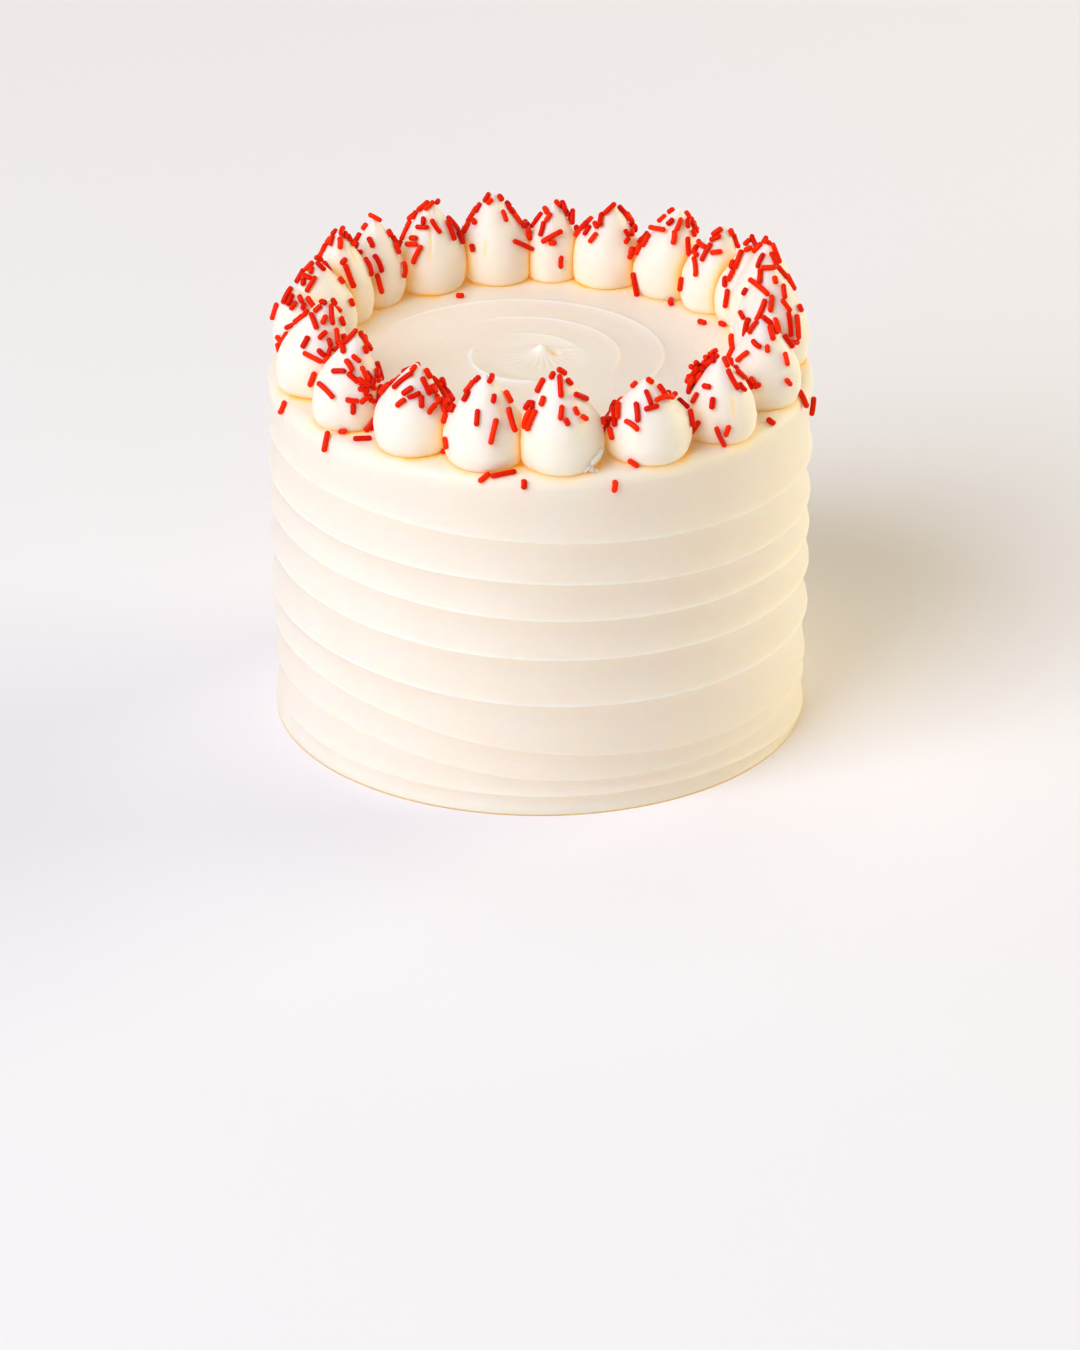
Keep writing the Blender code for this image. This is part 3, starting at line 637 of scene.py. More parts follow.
class Kiss:
    """One piped kiss: where it stands, its size, its lean, and the room its neighbours leave."""

    def __init__(self, row):
        angle, ring, width, height, lean_x, lean_y = row[:6]
        self.tip_rods, self.valley_rods, self.face_rods = row[6:]
        self.angle = math.radians(angle)
        self.centre = polar(ring * MM, self.angle, CAKE_HEIGHT + GAP)
        self.radius = 0.5 * width * MM
        self.height = height * MM
        self.lean = Vector((lean_x * MM, lean_y * MM, 0.0))
        self.limits = []

    def press_against(self, other):
        """Flatten towards a neighbour, each as far as its own size allows."""
        across = other.centre - self.centre
        share = self.radius / (self.radius + other.radius)
        self.limits.append((across.normalized(), across.length * share + TOUCH))

    def axis(self, share):
        """Middle of the kiss part of the way up."""
        return self.centre + self.lean * max(share, 0.0) ** LEAN_POWER + UP * self.height * share

    def point(self, share, girth, turn):
        """Surface point at a height share, with a radius share, at an angle."""
        outward = polar(1.0, turn, 0.0)
        middle = self.axis(share)
        facings = [max(0.0, outward.dot(direction)) for direction, _ in self.limits]
        low, high = WEB_TOP
        spread = WEB_WIDTH * ease((high - share) / (high - low))
        girth *= 1 + spread * sum(facing ** WEB_POWER for facing in facings)
        reach = math.exp(-self.radius * girth / PRESS_ROUND)
        for (direction, room), facing in zip(self.limits, facings):
            if facing > 0:
                limit = (room - (middle - self.centre).dot(direction)) / facing
                reach += math.exp(-limit / PRESS_ROUND)
        return middle - outward * PRESS_ROUND * math.log(reach)

    def crease_at(self, place):
        """How deep in a crease a place lies: by the foot, or close to a neighbour."""
        offset = place - self.centre
        nearest = min(room - offset.dot(direction) for direction, room in self.limits)
        squeeze = crease_depth(nearest) * ease(1.25 - offset.z / self.height)
        return max(OPEN_CREASE * crease_depth(offset.z), squeeze)

    def edge_distance(self, place):
        """Distance of a place on the top from the foot of the kiss."""
        offset = place - self.centre
        turn = math.atan2(offset.y, offset.x)
        edge = self.point(0.05, 0.90, turn) - self.centre
        return math.hypot(offset.x, offset.y) - math.hypot(edge.x, edge.y)


def make_kisses():
    """All kisses in order, each pressed against the two beside it."""
    kisses = [Kiss(row) for row in KISSES]
    for i, kiss in enumerate(kisses):
        kiss.press_against(kisses[i - 1])
        kiss.press_against(kisses[(i + 1) % len(kisses)])
    return kisses


kisses = make_kisses()


def crease_on_top(place):
    """How deep in the crease round a kiss a place on the top lies."""
    near = [kiss for kiss in kisses if (kiss.centre - place).length < CREASE_ROOM]
    if not near:
        return 0.0
    nearest, second = sorted(kiss.edge_distance(place) for kiss in near + near[:1])[:2]
    pinch = math.exp(-max(0.0, second) / PINCH_REACH) if len(near) > 1 else 0.0
    nearest = max(0.0, nearest) * (1 - PINCH_PULL * pinch)
    return crease_depth(nearest) * (OPEN_CREASE + (1 - OPEN_CREASE) * pinch)


# Pieces


def cosine_shares(count):
    """Shares from 0 towards 1, close together at both ends."""
    return [0.5 * (1 - math.cos(math.pi * i / count)) for i in range(count)]


def column_places(lap_share):
    """Places and their painted shade from crease depths, lips and the swirl, up the side, over the rim
    and in to the centre of the top.
    """
    column = SideColumn(lap_share)
    bands = len(RIDGE_LAPS) + 1
    places = [(polar(FOOT_RADIUS - FOOT_BEVEL, column.turn, 0.0), 1.0)]
    for band in range(bands):
        places += [column.point(band, share) for share in cosine_shares(BAND_ROWS)]
    shoulder, _ = column.point(bands - 1, 1.0)
    places.append((shoulder, 0.0))
    start = math.hypot(shoulder.x, shoulder.y)
    for step in range(1, RIM_ROWS + 1):
        angle = 0.5 * math.pi * step / RIM_ROWS
        radius = start - RIM_ROUND * (1 - math.cos(angle))
        place = polar(radius, column.turn, RIM_START + RIM_ROUND * math.sin(angle))
        places.append((place, crease_on_top(place) * step / RIM_ROWS))
    inner = start - RIM_ROUND
    radii = [inner + (INNER_TOP_RADIUS - inner) * i / OUTER_TOP_ROWS
             for i in range(1, OUTER_TOP_ROWS + 1)]
    radii += [INNER_TOP_RADIUS * (1 - i / INNER_TOP_ROWS) for i in range(1, INNER_TOP_ROWS + 1)]
    for radius in radii:
        places.append(top_point(radius, column.turn))
    return places


def paint_crease(piece, values):
    """Keep each vertex's painted shade for the material: how deep it lies in a crease, below 0 a
    painted highlight.
    """
    attribute = piece.data.attributes.new("crease", "FLOAT", "POINT")
    attribute.data.foreach_set("value", values)


def edit(piece):
    """Go into edit mode on one piece with all of it selected."""
    bpy.ops.object.select_all(action="DESELECT")
    bpy.context.view_layer.objects.active = piece
    piece.select_set(True)
    bpy.ops.object.mode_set(mode="EDIT")
    bpy.ops.mesh.select_all(action="SELECT")


def start_form(add, **settings):
    """A plain form to model on, made by one of Blender's own."""
    bpy.ops.object.select_all(action="DESELECT")
    add(**settings)
    return bpy.context.object


def face_outwards(piece):
    """Point a piece's faces outwards and smooth them."""
    edit(piece)
    bpy.ops.mesh.normals_make_consistent(inside=False)
    bpy.ops.object.mode_set(mode="OBJECT")
    piece.data.shade_smooth()


def close_up(piece):
    """Merge a piece's doubles, fill what is open and point its faces outwards."""
    edit(piece)
    bpy.ops.mesh.remove_doubles(threshold=SEAM_MERGE)
    bpy.ops.mesh.select_all(action="DESELECT")
    bpy.ops.mesh.select_mode(type="EDGE")
    bpy.ops.mesh.select_non_manifold()
    bpy.ops.mesh.edge_face_add()
    bpy.ops.object.mode_set(mode="OBJECT")
    face_outwards(piece)


def finish_piece(piece, name, material, slot, *nodes):
    """Name a piece, give it its material and tie it to the solids it stands for."""
    piece.name = name
    piece.data.name = name
    piece.data.materials.clear()
    piece.data.materials.append(material)
    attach(piece, "root")
    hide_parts(*nodes)


def wrap_icing(material):
    """The icing of side and top: one sheet wrapped round, each band meeting the band above it."""
    columns = [column_places(i / TURN_STEPS) for i in range(TURN_STEPS + 1)]
    rows = len(columns[0]) - 1
    piece = start_form(bpy.ops.mesh.primitive_grid_add, x_subdivisions=TURN_STEPS,
                       y_subdivisions=rows, size=1.0)
    creases = []
    for vertex in piece.data.vertices:
        column = columns[round((vertex.co.x + 0.5) * TURN_STEPS)]
        place, crease = column[round((vertex.co.y + 0.5) * rows)]
        vertex.co = place
        creases.append(crease)
    # Painted shade in creases and under lips, and painted highlight on lips and crests
    paint_crease(piece, creases)
    close_up(piece)
    finish_piece(piece, "cake_icing", material, "icing", "iced_cake")
    return piece


def smooth_profile(share):
    """Radius share of a kiss at a height share, on a smooth curve through the profile."""
    points = KISS_PROFILE + ((1.0, 0.0),)
    i = max(k for k in range(len(points) - 1) if points[k][0] <= share)
    (x0, y0), (x1, y1) = points[i], points[i + 1]
    xb, yb = points[max(i - 1, 0)]
    xa, ya = points[min(i + 2, len(points) - 1)]
    width = x1 - x0
    part = (share - x0) / width
    slope0 = (y1 - yb) / (x1 - xb) * width
    slope1 = (ya - y0) / (xa - x0) * width
    lift = part * part * (3 - 2 * part)
    bend = part * (1 - part)
    return y0 + (y1 - y0) * lift + bend * ((1 - part) * slope0 - part * slope1)


def fold_depth(number, kiss, share, girth, turn):
    """How deep the folds of one kiss cut in at a place on it, and the painted shade in them there."""
    depth, fold_shade = 0.0, 0.0
    for row in KISS_FOLDS:
        if row[0] != number:
            continue
        _, angle, low, high, cut, width = row
        middle = math.radians(angle + FOLD_SLANT * (share - 0.5))
        away = abs((turn - middle + math.pi) % math.tau - math.pi) * kiss.radius * girth
        ends = ease((share - low) * FOLD_ENDS) * ease((high - share) * FOLD_ENDS)
        depth += cut * ends * math.exp(-away / width)
        fold_shade += FOLD_PAINTED_SHADE * ends * math.exp(-((away / width) ** 2))
    return depth, fold_shade


def kiss_form():
    """The plain kiss, one unit wide each way and one high: a disc drawn up ring by ring."""
    girth = smooth_profile(0.0)
    form = start_form(bpy.ops.mesh.primitive_circle_add, vertices=KISS_SIDES, radius=girth,
                      fill_type="NGON")
    edit(form)
    shares = [1 - (1 - i / KISS_ROWS) ** TIP_CROWDING for i in range(KISS_ROWS + 1)]
    for low, high in zip(shares[:-1], shares[1:-1]):
        bpy.ops.mesh.extrude_region_move(TRANSFORM_OT_translate={"value": (0.0, 0.0, high - low)})
        thinner = smooth_profile(high) / girth
        bpy.ops.transform.resize(value=(thinner, thinner, 1.0), center_override=(0.0, 0.0, high))
        girth = smooth_profile(high)
    bpy.ops.mesh.extrude_region_move(
        TRANSFORM_OT_translate={"value": (0.0, 0.0, shares[-1] - shares[-2])})
    bpy.ops.mesh.merge(type="CENTER")
    bpy.ops.object.mode_set(mode="OBJECT")
    return form


def kiss_vertex(number, kiss, phase, co):
    """Where one vertex of the plain kiss goes on a kiss, and its painted shade: how deep it lies in a
    crease, or the shade painted in a fold.
    """
    share = co.z
    girth = math.hypot(co.x, co.y)
    turn = math.atan2(co.y, co.x)
    place = kiss.point(share, max(girth, LEAST_GIRTH), turn)
    soft = wobble(place, LUMP_SIZE, number)
    soft += FINE_LUMPS * wobble(place, FINE_LUMP_SIZE, number + FINE_SEED)
    rings = RING_HEIGHT * math.sin(share * RING_TURNS + turn + phase) * ease(1.3 - 1.6 * share)
    crease = kiss.crease_at(place)
    lumps = (KISS_LUMPS * soft + rings * MM) * ease(girth * 2.5) * (1 - crease)
    fold, fold_shade = fold_depth(number, kiss, share, girth, turn)
    place += polar(1.0, turn, 0.0) * (lumps - fold)
    curl = Vector(NIB_CURLS.get(number, (0.0, 0.0, 0.0))) * MM
    place += curl * max(0.0, (share - NIB_START) / (1 - NIB_START)) ** 2
    place.z -= KISS_SINK * (1 - ease(share / SINK_TOP))
    return place, max(crease, fold_shade)


def pipe_kiss(form, number, kiss, material):
    """One kiss: the plain form set on the cake, leant, pressed, and made uneven."""
    piece = form.copy()
    piece.data = form.data.copy()
    bpy.context.scene.collection.objects.link(piece)
    phase = random.Random(KISS_SEED + number).uniform(0.0, math.tau)
    creases = []
    for vertex in piece.data.vertices:
        vertex.co, crease = kiss_vertex(number, kiss, phase, vertex.co)
        creases.append(crease)
    # Painted shade in the creases and folds of the kiss
    paint_crease(piece, creases)
    face_outwards(piece)
    finish_piece(piece, f"piped_kiss_{number:02d}", material, "icing", f"kiss_{number:02d}")
    return piece


# Sprinkles


class Rod:
    """One sugar strand: its two ends, where its round caps are centred."""

    def __init__(self, middle, along, length):
        half = along.normalized() * (0.5 * length - ROD_RADIUS)
        self.ends = [middle - half, middle + half]
        self.core = 2.0 * half.length

    def along(self):
        """The direction it points in."""
        return (self.ends[1] - self.ends[0]).normalized()

    def at(self, share):
        """A place along it."""
        return self.ends[0].lerp(self.ends[1], share)

    def push(self, share, step):
        """Move the rod by pushing at one place along it."""
        self.ends[0] += step * (1 - share)
        self.ends[1] += step * share

    def keep_length(self):
        """Bring the ends back to their true distance."""
        middle = self.at(0.5)
        half = self.along() * 0.5 * self.core
        self.ends = [middle - half, middle + half]


def closest_shares(first, second):
    """Where along two rods they come closest."""
    a, b = first.ends[1] - first.ends[0], second.ends[1] - second.ends[0]
    between = first.ends[0] - second.ends[0]
    aa, bb, ab = a.dot(a), b.dot(b), a.dot(b)
    spread = aa * bb - ab * ab
    s = 0.5 if spread < 1e-14 else (ab * b.dot(between) - bb * a.dot(between)) / spread
    s = min(1.0, max(0.0, s))
    t = min(1.0, max(0.0, (ab * s + b.dot(between)) / bb))
    s = min(1.0, max(0.0, (ab * t - a.dot(between)) / aa))
    return s, t


def ordered_faces(piece, base):
    """A piece's faces in an order that stays the same from run to run, so that rods settle alike."""
    faces = []
    for face in piece.data.polygons:
        corners = [base + i for i in face.vertices]
        first = corners.index(min(corners))
        faces.append(corners[first:] + corners[:first])
    return sorted(faces)


class Pile:
    """The sprinkles on the icing. Each new rod is moved until it lies on what is under it."""

    def __init__(self, pieces):
        points, faces = [], []
        for piece in pieces:
            base = len(points)
            points += [vertex.co.copy() for vertex in piece.data.vertices]
            faces += ordered_faces(piece, base)
            if piece is pieces[0]:
                first_kiss = len(points), len(faces)
        self.icing = BVHTree.FromPolygons(points, faces)
        start, first_face = first_kiss
        kiss_faces = [[i - start for i in face] for face in faces[first_face:]]
        self.kisses = BVHTree.FromPolygons(points[start:], kiss_faces)
        self.rods = []
        self.cells = {}

    def cell(self, place):
        """Cell of a coarse grid that a place is in."""
        return tuple(int(math.floor(value / CELL)) for value in place)

    def near(self, rod):
        """Rods that lie close to a rod."""
        x, y, z = self.cell(rod.at(0.5))
        found = []
        for dx, dy, dz in itertools.product((-1, 0, 1), repeat=3):
            found += self.cells.get((x + dx, y + dy, z + dz), ())
        return found

    def icing_step(self, place):
        """How far a place has to move, and which way, to lie on the icing."""
        hit, normal, _, _ = self.icing.find_nearest(place)
        depth = ROD_BED * ROD_RADIUS - (place - hit).dot(normal)
        return normal, depth

    def settle(self, rod, others):
        """Push a rod out of the icing and off the rods it meets. Returns what overlap is left."""
        worst = 0.0
        for _ in range(SETTLE_ROUNDS):
            worst = 0.0
            for share in ROD_PROBES:
                normal, depth = self.icing_step(rod.at(share))
                if depth > 0:
                    worst = max(worst, depth)
                    rod.push(share, normal * depth)
            for other in others:
                s, t = closest_shares(rod, other)
                apart = rod.at(s) - other.at(t)
                overlap = ROD_TOUCH * 2.0 * ROD_RADIUS - apart.length
                if overlap > 0:
                    worst = max(worst, overlap)
                    out = apart.normalized() if apart.length > 0.001 * MM else UP
                    rod.push(s, out * overlap)
            rod.keep_length()
            if worst < SETTLED:
                break
        return worst

    def lies_well(self, rod, others, layers):
        """Whether a rod rests on something and isn't heaped too high."""
        heights = [-self.icing_step(rod.at(share))[1] for share in ROD_PROBES]
        gaps = list(heights)
        for other in others:
            s, t = closest_shares(rod, other)
            gaps.append((rod.at(s) - other.at(t)).length - 2.0 * ROD_RADIUS)
        heaped = sorted(heights)[len(heights) // 2] > (2.0 * layers - 1.0) * ROD_RADIUS
        return sorted(gaps)[1] < MOST_GAP and not heaped

    def drop(self, place, along, length, layers=1.0, allowed=None):
        """Lay one rod at a place on the icing. Returns whether it found room."""
        rod = Rod(place, along, length)
        others = self.near(rod)
        if self.settle(rod, others) > MOST_OVERLAP or not self.lies_well(rod, others, layers):
            return False
        if allowed and not allowed(rod):
            return False
        self.rods.append(rod)
        self.cells.setdefault(self.cell(rod.at(0.5)), []).append(rod)
        return True

    def surface_below(self, x, y):
        """Point of the icing under a place."""
        return self.icing.ray_cast(Vector((x, y, ABOVE_ALL)), -UP)[0]


def tangent(normal, direction, twist):
    """A direction in the surface: the one closest to a wish, turned by a twist."""
    flat = (direction - normal * direction.dot(normal)).normalized()
    return Matrix.Rotation(twist, 3, normal) @ flat


def rod_length(draw):
    """A sprinkle's length: most are short, a few are long."""
    low, high = ROD_LENGTHS
    return low + (high - low) * draw.random() ** LENGTH_POWER


def strew(view, count, draw, choose, layers=1.0):
    """Drop up to so many rods at unseen places that choose(draw) gives."""
    pile = view.pile
    laid = 0
    for _ in range(count * TRIES):
        if laid == count:
            break
        place, wish, twist = choose(draw)
        hit, normal, _, _ = pile.icing.find_nearest(place)
        if hit.z < CAKE_HEIGHT + LEAST_RISE:
            continue
        along = tangent(normal, wish, twist)
        start = hit + normal * ROD_RADIUS
        laid += pile.drop(start, along, rod_length(draw), layers, view.hides)


def on_tip(kiss):
    """Places on the upper cone of a kiss, most near its point."""
    def choose(draw):
        share = max(TIP_SHARES[0], TIP_SHARES[1] - abs(draw.gauss(0.0, TIP_SPREAD)))
        place = kiss.point(share, smooth_profile(share), draw.uniform(0.0, math.tau))
        return place, UP, draw.gauss(0.0, TIP_TWIST)
    return choose


def on_face(kiss, facing):
    """Places on the flank of a kiss that looks one way."""
    def choose(draw):
        share = draw.uniform(*FACE_SHARES)
        turn = facing + draw.uniform(-FACE_REACH, FACE_REACH)
        return kiss.point(share, smooth_profile(share), turn), UP, draw.gauss(0.0, FACE_TWIST)
    return choose


def in_valley(pile, kiss, after):
    """Places where two kisses meet, from above."""
    def choose(draw):
        direction, room = kiss.limits[1]
        middle = kiss.centre + direction * (room + draw.gauss(0.0, VALLEY_ACROSS) * MM)
        outwards = 0.5 * (kiss.angle + after.angle)
        middle += polar(draw.gauss(0.0, VALLEY_ALONG) * MM, outwards, 0.0)
        middle += (kiss.lean + after.lean) * VALLEY_LEAN
        place = pile.surface_below(middle.x, middle.y) or middle
        return place, UP, draw.uniform(-ANY_TWIST, ANY_TWIST)
    return choose


class PhotoView:
    """The photo's own view of the cake: from its pixels to places on the icing."""

    def __init__(self, pile):
        self.pile = pile
        self.forward = (CAMERA_AIM - CAMERA_PLACE).normalized()
        self.right = self.forward.cross(UP).normalized()
        self.up = self.right.cross(self.forward)
        self.focal = LENS / SENSOR * PHOTO_HEIGHT

    def ray(self, x, y):
        """Direction from the camera through a pixel."""
        across = self.right * (x - 0.5 * PHOTO_WIDTH) - self.up * (y - 0.5 * PHOTO_HEIGHT)
        return (self.forward * self.focal + across).normalized()

    def place(self, x, y, stray=True):
        """Icing at a pixel, with its normal and its distance. What is no stray lies on a kiss:
        the one at the pixel, or the one whose outline passes closest to it."""
        ray = self.ray(x, y)
        hit, normal, _, distance = self.pile.icing.ray_cast(CAMERA_PLACE, ray)
        if hit and (stray or hit.z > CAKE_HEIGHT + KISS_FOOT):
            return hit, normal, distance
        reach = CAMERA_PLACE.length
        steps = [reach + step * SEARCH_STEP for step in range(-SEARCH_STEPS, SEARCH_STEPS + 1)]
        found = [self.pile.kisses.find_nearest(CAMERA_PLACE + ray * step) for step in steps]
        hit, normal, _, _ = min(found, key=lambda near: near[3])
        return hit, normal, (hit - CAMERA_PLACE).length

    def lay(self, x0, y0, x1, y1, stray=False):
        """Lay the sprinkle whose ends are seen at two pixels, as low as it finds room."""
        hit, normal, distance = self.place(0.5 * (x0 + x1), 0.5 * (y0 + y1), stray)
        seen = (self.right * (x1 - x0) - self.up * (y1 - y0)) * (distance / self.focal)
        along = tangent(normal, seen, 0.0)
        shown = (along - self.forward * along.dot(self.forward)).length
        length = seen.length / max(shown, LEAST_SHOWN) + SEEN_CAPS
        length = min(max(length, SEEN_LENGTHS[0]), SEEN_LENGTHS[1])
        for lift in SEEN_LIFTS:
            if self.pile.drop(hit + normal * lift * ROD_RADIUS, along, length, SEEN_LAYERS):
                break

    def hides(self, rod):
        """Whether the icing hides a whole rod, and a little room round it, from the camera."""
        for share in ROD_PROBES:
            for aside in (-HIDDEN_MARGIN, 0.0, HIDDEN_MARGIN):
                place = rod.at(share) + self.right * aside + self.up * abs(aside)
                away = (CAMERA_PLACE - place).normalized()
                if self.pile.icing.ray_cast(place + away * HIDDEN_START, away)[0] is None:
                    return False
        return True


def heap(pile, count, draw):
    """Drop more rods where they already lie thick in front, on and between the ones there."""
    thick = []
    for rod in pile.rods:
        gaps = [(other.at(0.5) - rod.at(0.5)).length for other in pile.near(rod)]
        if rod.at(0.5).y < 0 and sum(gap < HEAP_REACH for gap in gaps) > HEAP_NEIGHBOURS:
            thick.append(rod)
    for _ in range(count):
        middle = draw.choice(thick).at(0.5)
        middle += Vector([draw.gauss(0.0, HEAP_SPREAD) * MM for _ in range(3)])
        hit, normal, _, _ = pile.icing.find_nearest(middle)
        along = tangent(normal, UP, draw.uniform(-ANY_TWIST, ANY_TWIST))
        start = hit + normal * HEAP_LIFT * ROD_RADIUS
        pile.drop(start, along, rod_length(draw) * HEAP_LENGTH, HEAP_LAYERS)


def strew_strays(pile):
    """The single rods that fell on the unseen side."""
    for angle, height, length, lean in SIDE_STRAYS:
        turn = math.radians(angle)
        outside = polar(ABOVE_ALL, turn, height * MM)
        place, normal, _, _ = pile.icing.ray_cast(outside, polar(-1.0, turn, 0.0))
        along = tangent(normal, UP, math.radians(lean))
        pile.drop(place + normal * ROD_RADIUS * ROD_BED, along, length * MM)


def rod_form():
    """The plain sugar strand, one unit in radius and two long, with rounded ends."""
    form = start_form(bpy.ops.mesh.primitive_cylinder_add, vertices=ROD_SIDES, radius=1.0,
                      depth=2.0)
    edit(form)
    bpy.ops.mesh.select_all(action="DESELECT")
    bpy.ops.object.mode_set(mode="OBJECT")
    for edge in form.data.edges:
        heights = [form.data.vertices[i].co.z for i in edge.vertices]
        edge.select = abs(heights[0] - heights[1]) > 1.0
    bpy.ops.object.mode_set(mode="EDIT")
    bpy.ops.mesh.select_mode(type="EDGE")
    bpy.ops.mesh.subdivide(number_cuts=3)
    bpy.ops.mesh.select_all(action="DESELECT")
    bpy.ops.object.mode_set(mode="OBJECT")
    for face in form.data.polygons:
        face.select = abs(face.normal.z) > 0.9
    bpy.ops.object.mode_set(mode="EDIT")
    bpy.ops.mesh.select_mode(type="FACE")
    bpy.ops.mesh.inset(thickness=CAP_RIM, use_individual=True)
    bpy.ops.object.mode_set(mode="OBJECT")
    return form


def rod_vertex(rod, co, side, across, bend, thick):
    """Where one vertex of the plain strand goes on a rod."""
    on_rim = math.hypot(co.x, co.y) > 0.9
    reach = 0.5 * rod.core + ROD_RADIUS * (CAP_RIM if on_rim else 1.0)
    bow = bend * (1 - co.z * co.z)
    place = rod.at(0.5) + rod.along() * (co.z * reach) + side * (co.x * thick + bow)
    return place + across * (co.y * thick)


def smear_vertex(stops, co):
    """Where one vertex of a ball goes on a ribbon drawn through its stops."""
    step = 0.5 * (co.z + 1) * (len(stops) - 1)
    i = min(int(step), len(stops) - 2)
    (low, low_normal), (high, high_normal) = stops[i], stops[i + 1]
    part = ease(step - i) * SMEAR_KNUCKLES + (step - i) * (1 - SMEAR_KNUCKLES)
    along = (high - low).normalized()
    normal = low_normal.lerp(high_normal, part).normalized()
    aside = along.cross(normal).normalized() * co.x * SMEAR_WIDTH
    return low.lerp(high, part) + aside + normal * (co.y + SMEAR_BED) * SMEAR_RISE


def pull_smears(view, material):
    """Thin ribbons of cream pulled out where two front kisses meet, each laid on the icing."""
    smears = []
    for pixels in SMEARS:
        piece = start_form(bpy.ops.mesh.primitive_uv_sphere_add, segments=12, ring_count=20,
                           radius=1.0)
        stops = [view.place(x, y)[:2] for x, y in pixels]
        for vertex in piece.data.vertices:
            vertex.co = smear_vertex(stops, vertex.co)
        # Painted shade over the whole ribbon
        paint_crease(piece, [SMEAR_PAINTED_SHADE] * len(piece.data.vertices))
        smears.append(piece)
    bpy.ops.object.select_all(action="DESELECT")
    for piece in smears:
        piece.select_set(True)
    bpy.context.view_layer.objects.active = smears[0]
    bpy.ops.object.join()
    face_outwards(smears[0])
    finish_piece(smears[0], "cream_smears", material, "icing", "kiss_18")


def lay_sprinkles(pile, material):
    """All the sprinkles as one piece, each a copy of the plain strand, a little bent."""
    form = rod_form()
    draw = random.Random(SPRINKLE_SEED + 1)
    points, faces, tones = [], [], []
    for rod in pile.rods:
        along = rod.along()
        side = along.orthogonal().normalized()
        side = Matrix.Rotation(draw.uniform(0.0, math.tau), 3, along) @ side
        across = along.cross(side)
        bend = draw.gauss(0.0, ROD_BEND) * rod.core
        thick = ROD_RADIUS * draw.uniform(*ROD_THICKNESS)
        tone = draw.random()
        base = len(points)
        for vertex in form.data.vertices:
            points.append(rod_vertex(rod, vertex.co, side, across, bend, thick))
            tones.append(tone)
        faces += [[base + i for i in face.vertices] for face in form.data.polygons]
    mesh = bpy.data.meshes.new("sprinkles")
    mesh.from_pydata(points, [], faces)
    mesh.attributes.new("tone", "FLOAT", "POINT").data.foreach_set("value", tones)
    piece = bpy.data.objects.new("sprinkles", mesh)
    bpy.context.scene.collection.objects.link(piece)
    bpy.data.objects.remove(form, do_unlink=True)
    face_outwards(piece)
    nodes = ["iced_cake"] + [f"kiss_{number:02d}" for number in range(1, len(KISSES) + 1)]
    finish_piece(piece, "sprinkles", material, "sprinkle", *nodes)


# Materials


def new_group(name, inputs, outputs):
    """An empty shader node group with its sockets."""
    group = bpy.data.node_groups.new(name, "ShaderNodeTree")
    for socket, kind, value in inputs:
        made = group.interface.new_socket(socket, in_out="INPUT", socket_type=kind)
        made.default_value = value
    for socket, kind in outputs:
        group.interface.new_socket(socket, in_out="OUTPUT", socket_type=kind)
    return group, group.nodes.new("NodeGroupInput"), group.nodes.new("NodeGroupOutput")


def set_inputs(tree, node, values):
    """Set a node's inputs, or link them to other nodes, each by its name or its number."""
    for key, value in values.items():
        socket = node.inputs[key]
        if isinstance(value, bpy.types.NodeSocket):
            tree.links.new(value, socket)
        else:
            socket.default_value = value


def add_node(tree, kind, settings=None, **inputs):
    """A node with its settings and inputs. An input given as _2 is the node's input number 2."""
    node = tree.nodes.new(kind)
    for name, value in (settings or {}).items():
        setattr(node, name, value)
    set_inputs(tree, node, {int(name[1:]) if name[1:].isdigit() else name: value
                            for name, value in inputs.items()})
    return node


def add_math(tree, operation, *values, clamp=False):
    """The result of a sum on one or two values."""
    node = add_node(tree, "ShaderNodeMath", {"operation": operation, "use_clamp": clamp})
    set_inputs(tree, node, dict(enumerate(values)))
    return node.outputs[0]


def mix_colours(tree, factor, first, second):
    """A mix of two colours."""
    node = add_node(tree, "ShaderNodeMix", {"data_type": "RGBA"}, _0=factor, _6=first, _7=second)
    return node.outputs[2]


def cream_painted_light_group():
    """Group: cream colour with soft mottling, painted shade in creases (above 0) and painted highlight
    on lips (below 0), and the creases' painted glow.
    """
    group, given, result = new_group(
        "cream_tone_and_painted_light",
        [("Crease", "NodeSocketFloat", 0.0)]
        + [(name, "NodeSocketColor", WHITE) for name in ("Cream", "Shade", "Glow", "Edge")],
        (("Color", "NodeSocketColor"), ("PaintedGlow", "NodeSocketColor")))
    place = add_node(group, "ShaderNodeTexCoord").outputs["Object"]
    mottle = add_node(group, "ShaderNodeTexNoise", Vector=place, Scale=38.0, Detail=3.0,
                      Roughness=0.55)
    cloud = add_node(group, "ShaderNodeMapRange", _0=mottle.outputs[0], _1=0.35, _2=0.70,
                     _3=0.0, _4=1.0)
    cream = mix_colours(group, cloud.outputs[0], given.outputs["Cream"], given.outputs["Shade"])
    # Painted shade and glow in creases
    glow = mix_colours(group, given.outputs["Crease"], cream, given.outputs["Glow"])
    # Painted highlight where the painted shade is below 0
    edge = add_math(group, "MULTIPLY", given.outputs["Crease"], -1.0, clamp=True)
    deep = add_math(group, "MAXIMUM", given.outputs["Crease"], 0.0)
    # Painted glow, given out as light, stronger deep in a crease
    painted_glow = mix_colours(group, deep, OPEN_PAINTED_GLOW, CREASE_PAINTED_GLOW)
    set_inputs(group, result, {
        "Color": mix_colours(group, edge, glow, given.outputs["Edge"]),
        "PaintedGlow": mix_colours(group, add_math(group, "SQRT", deep), BLACK, painted_glow),
    })
    return group


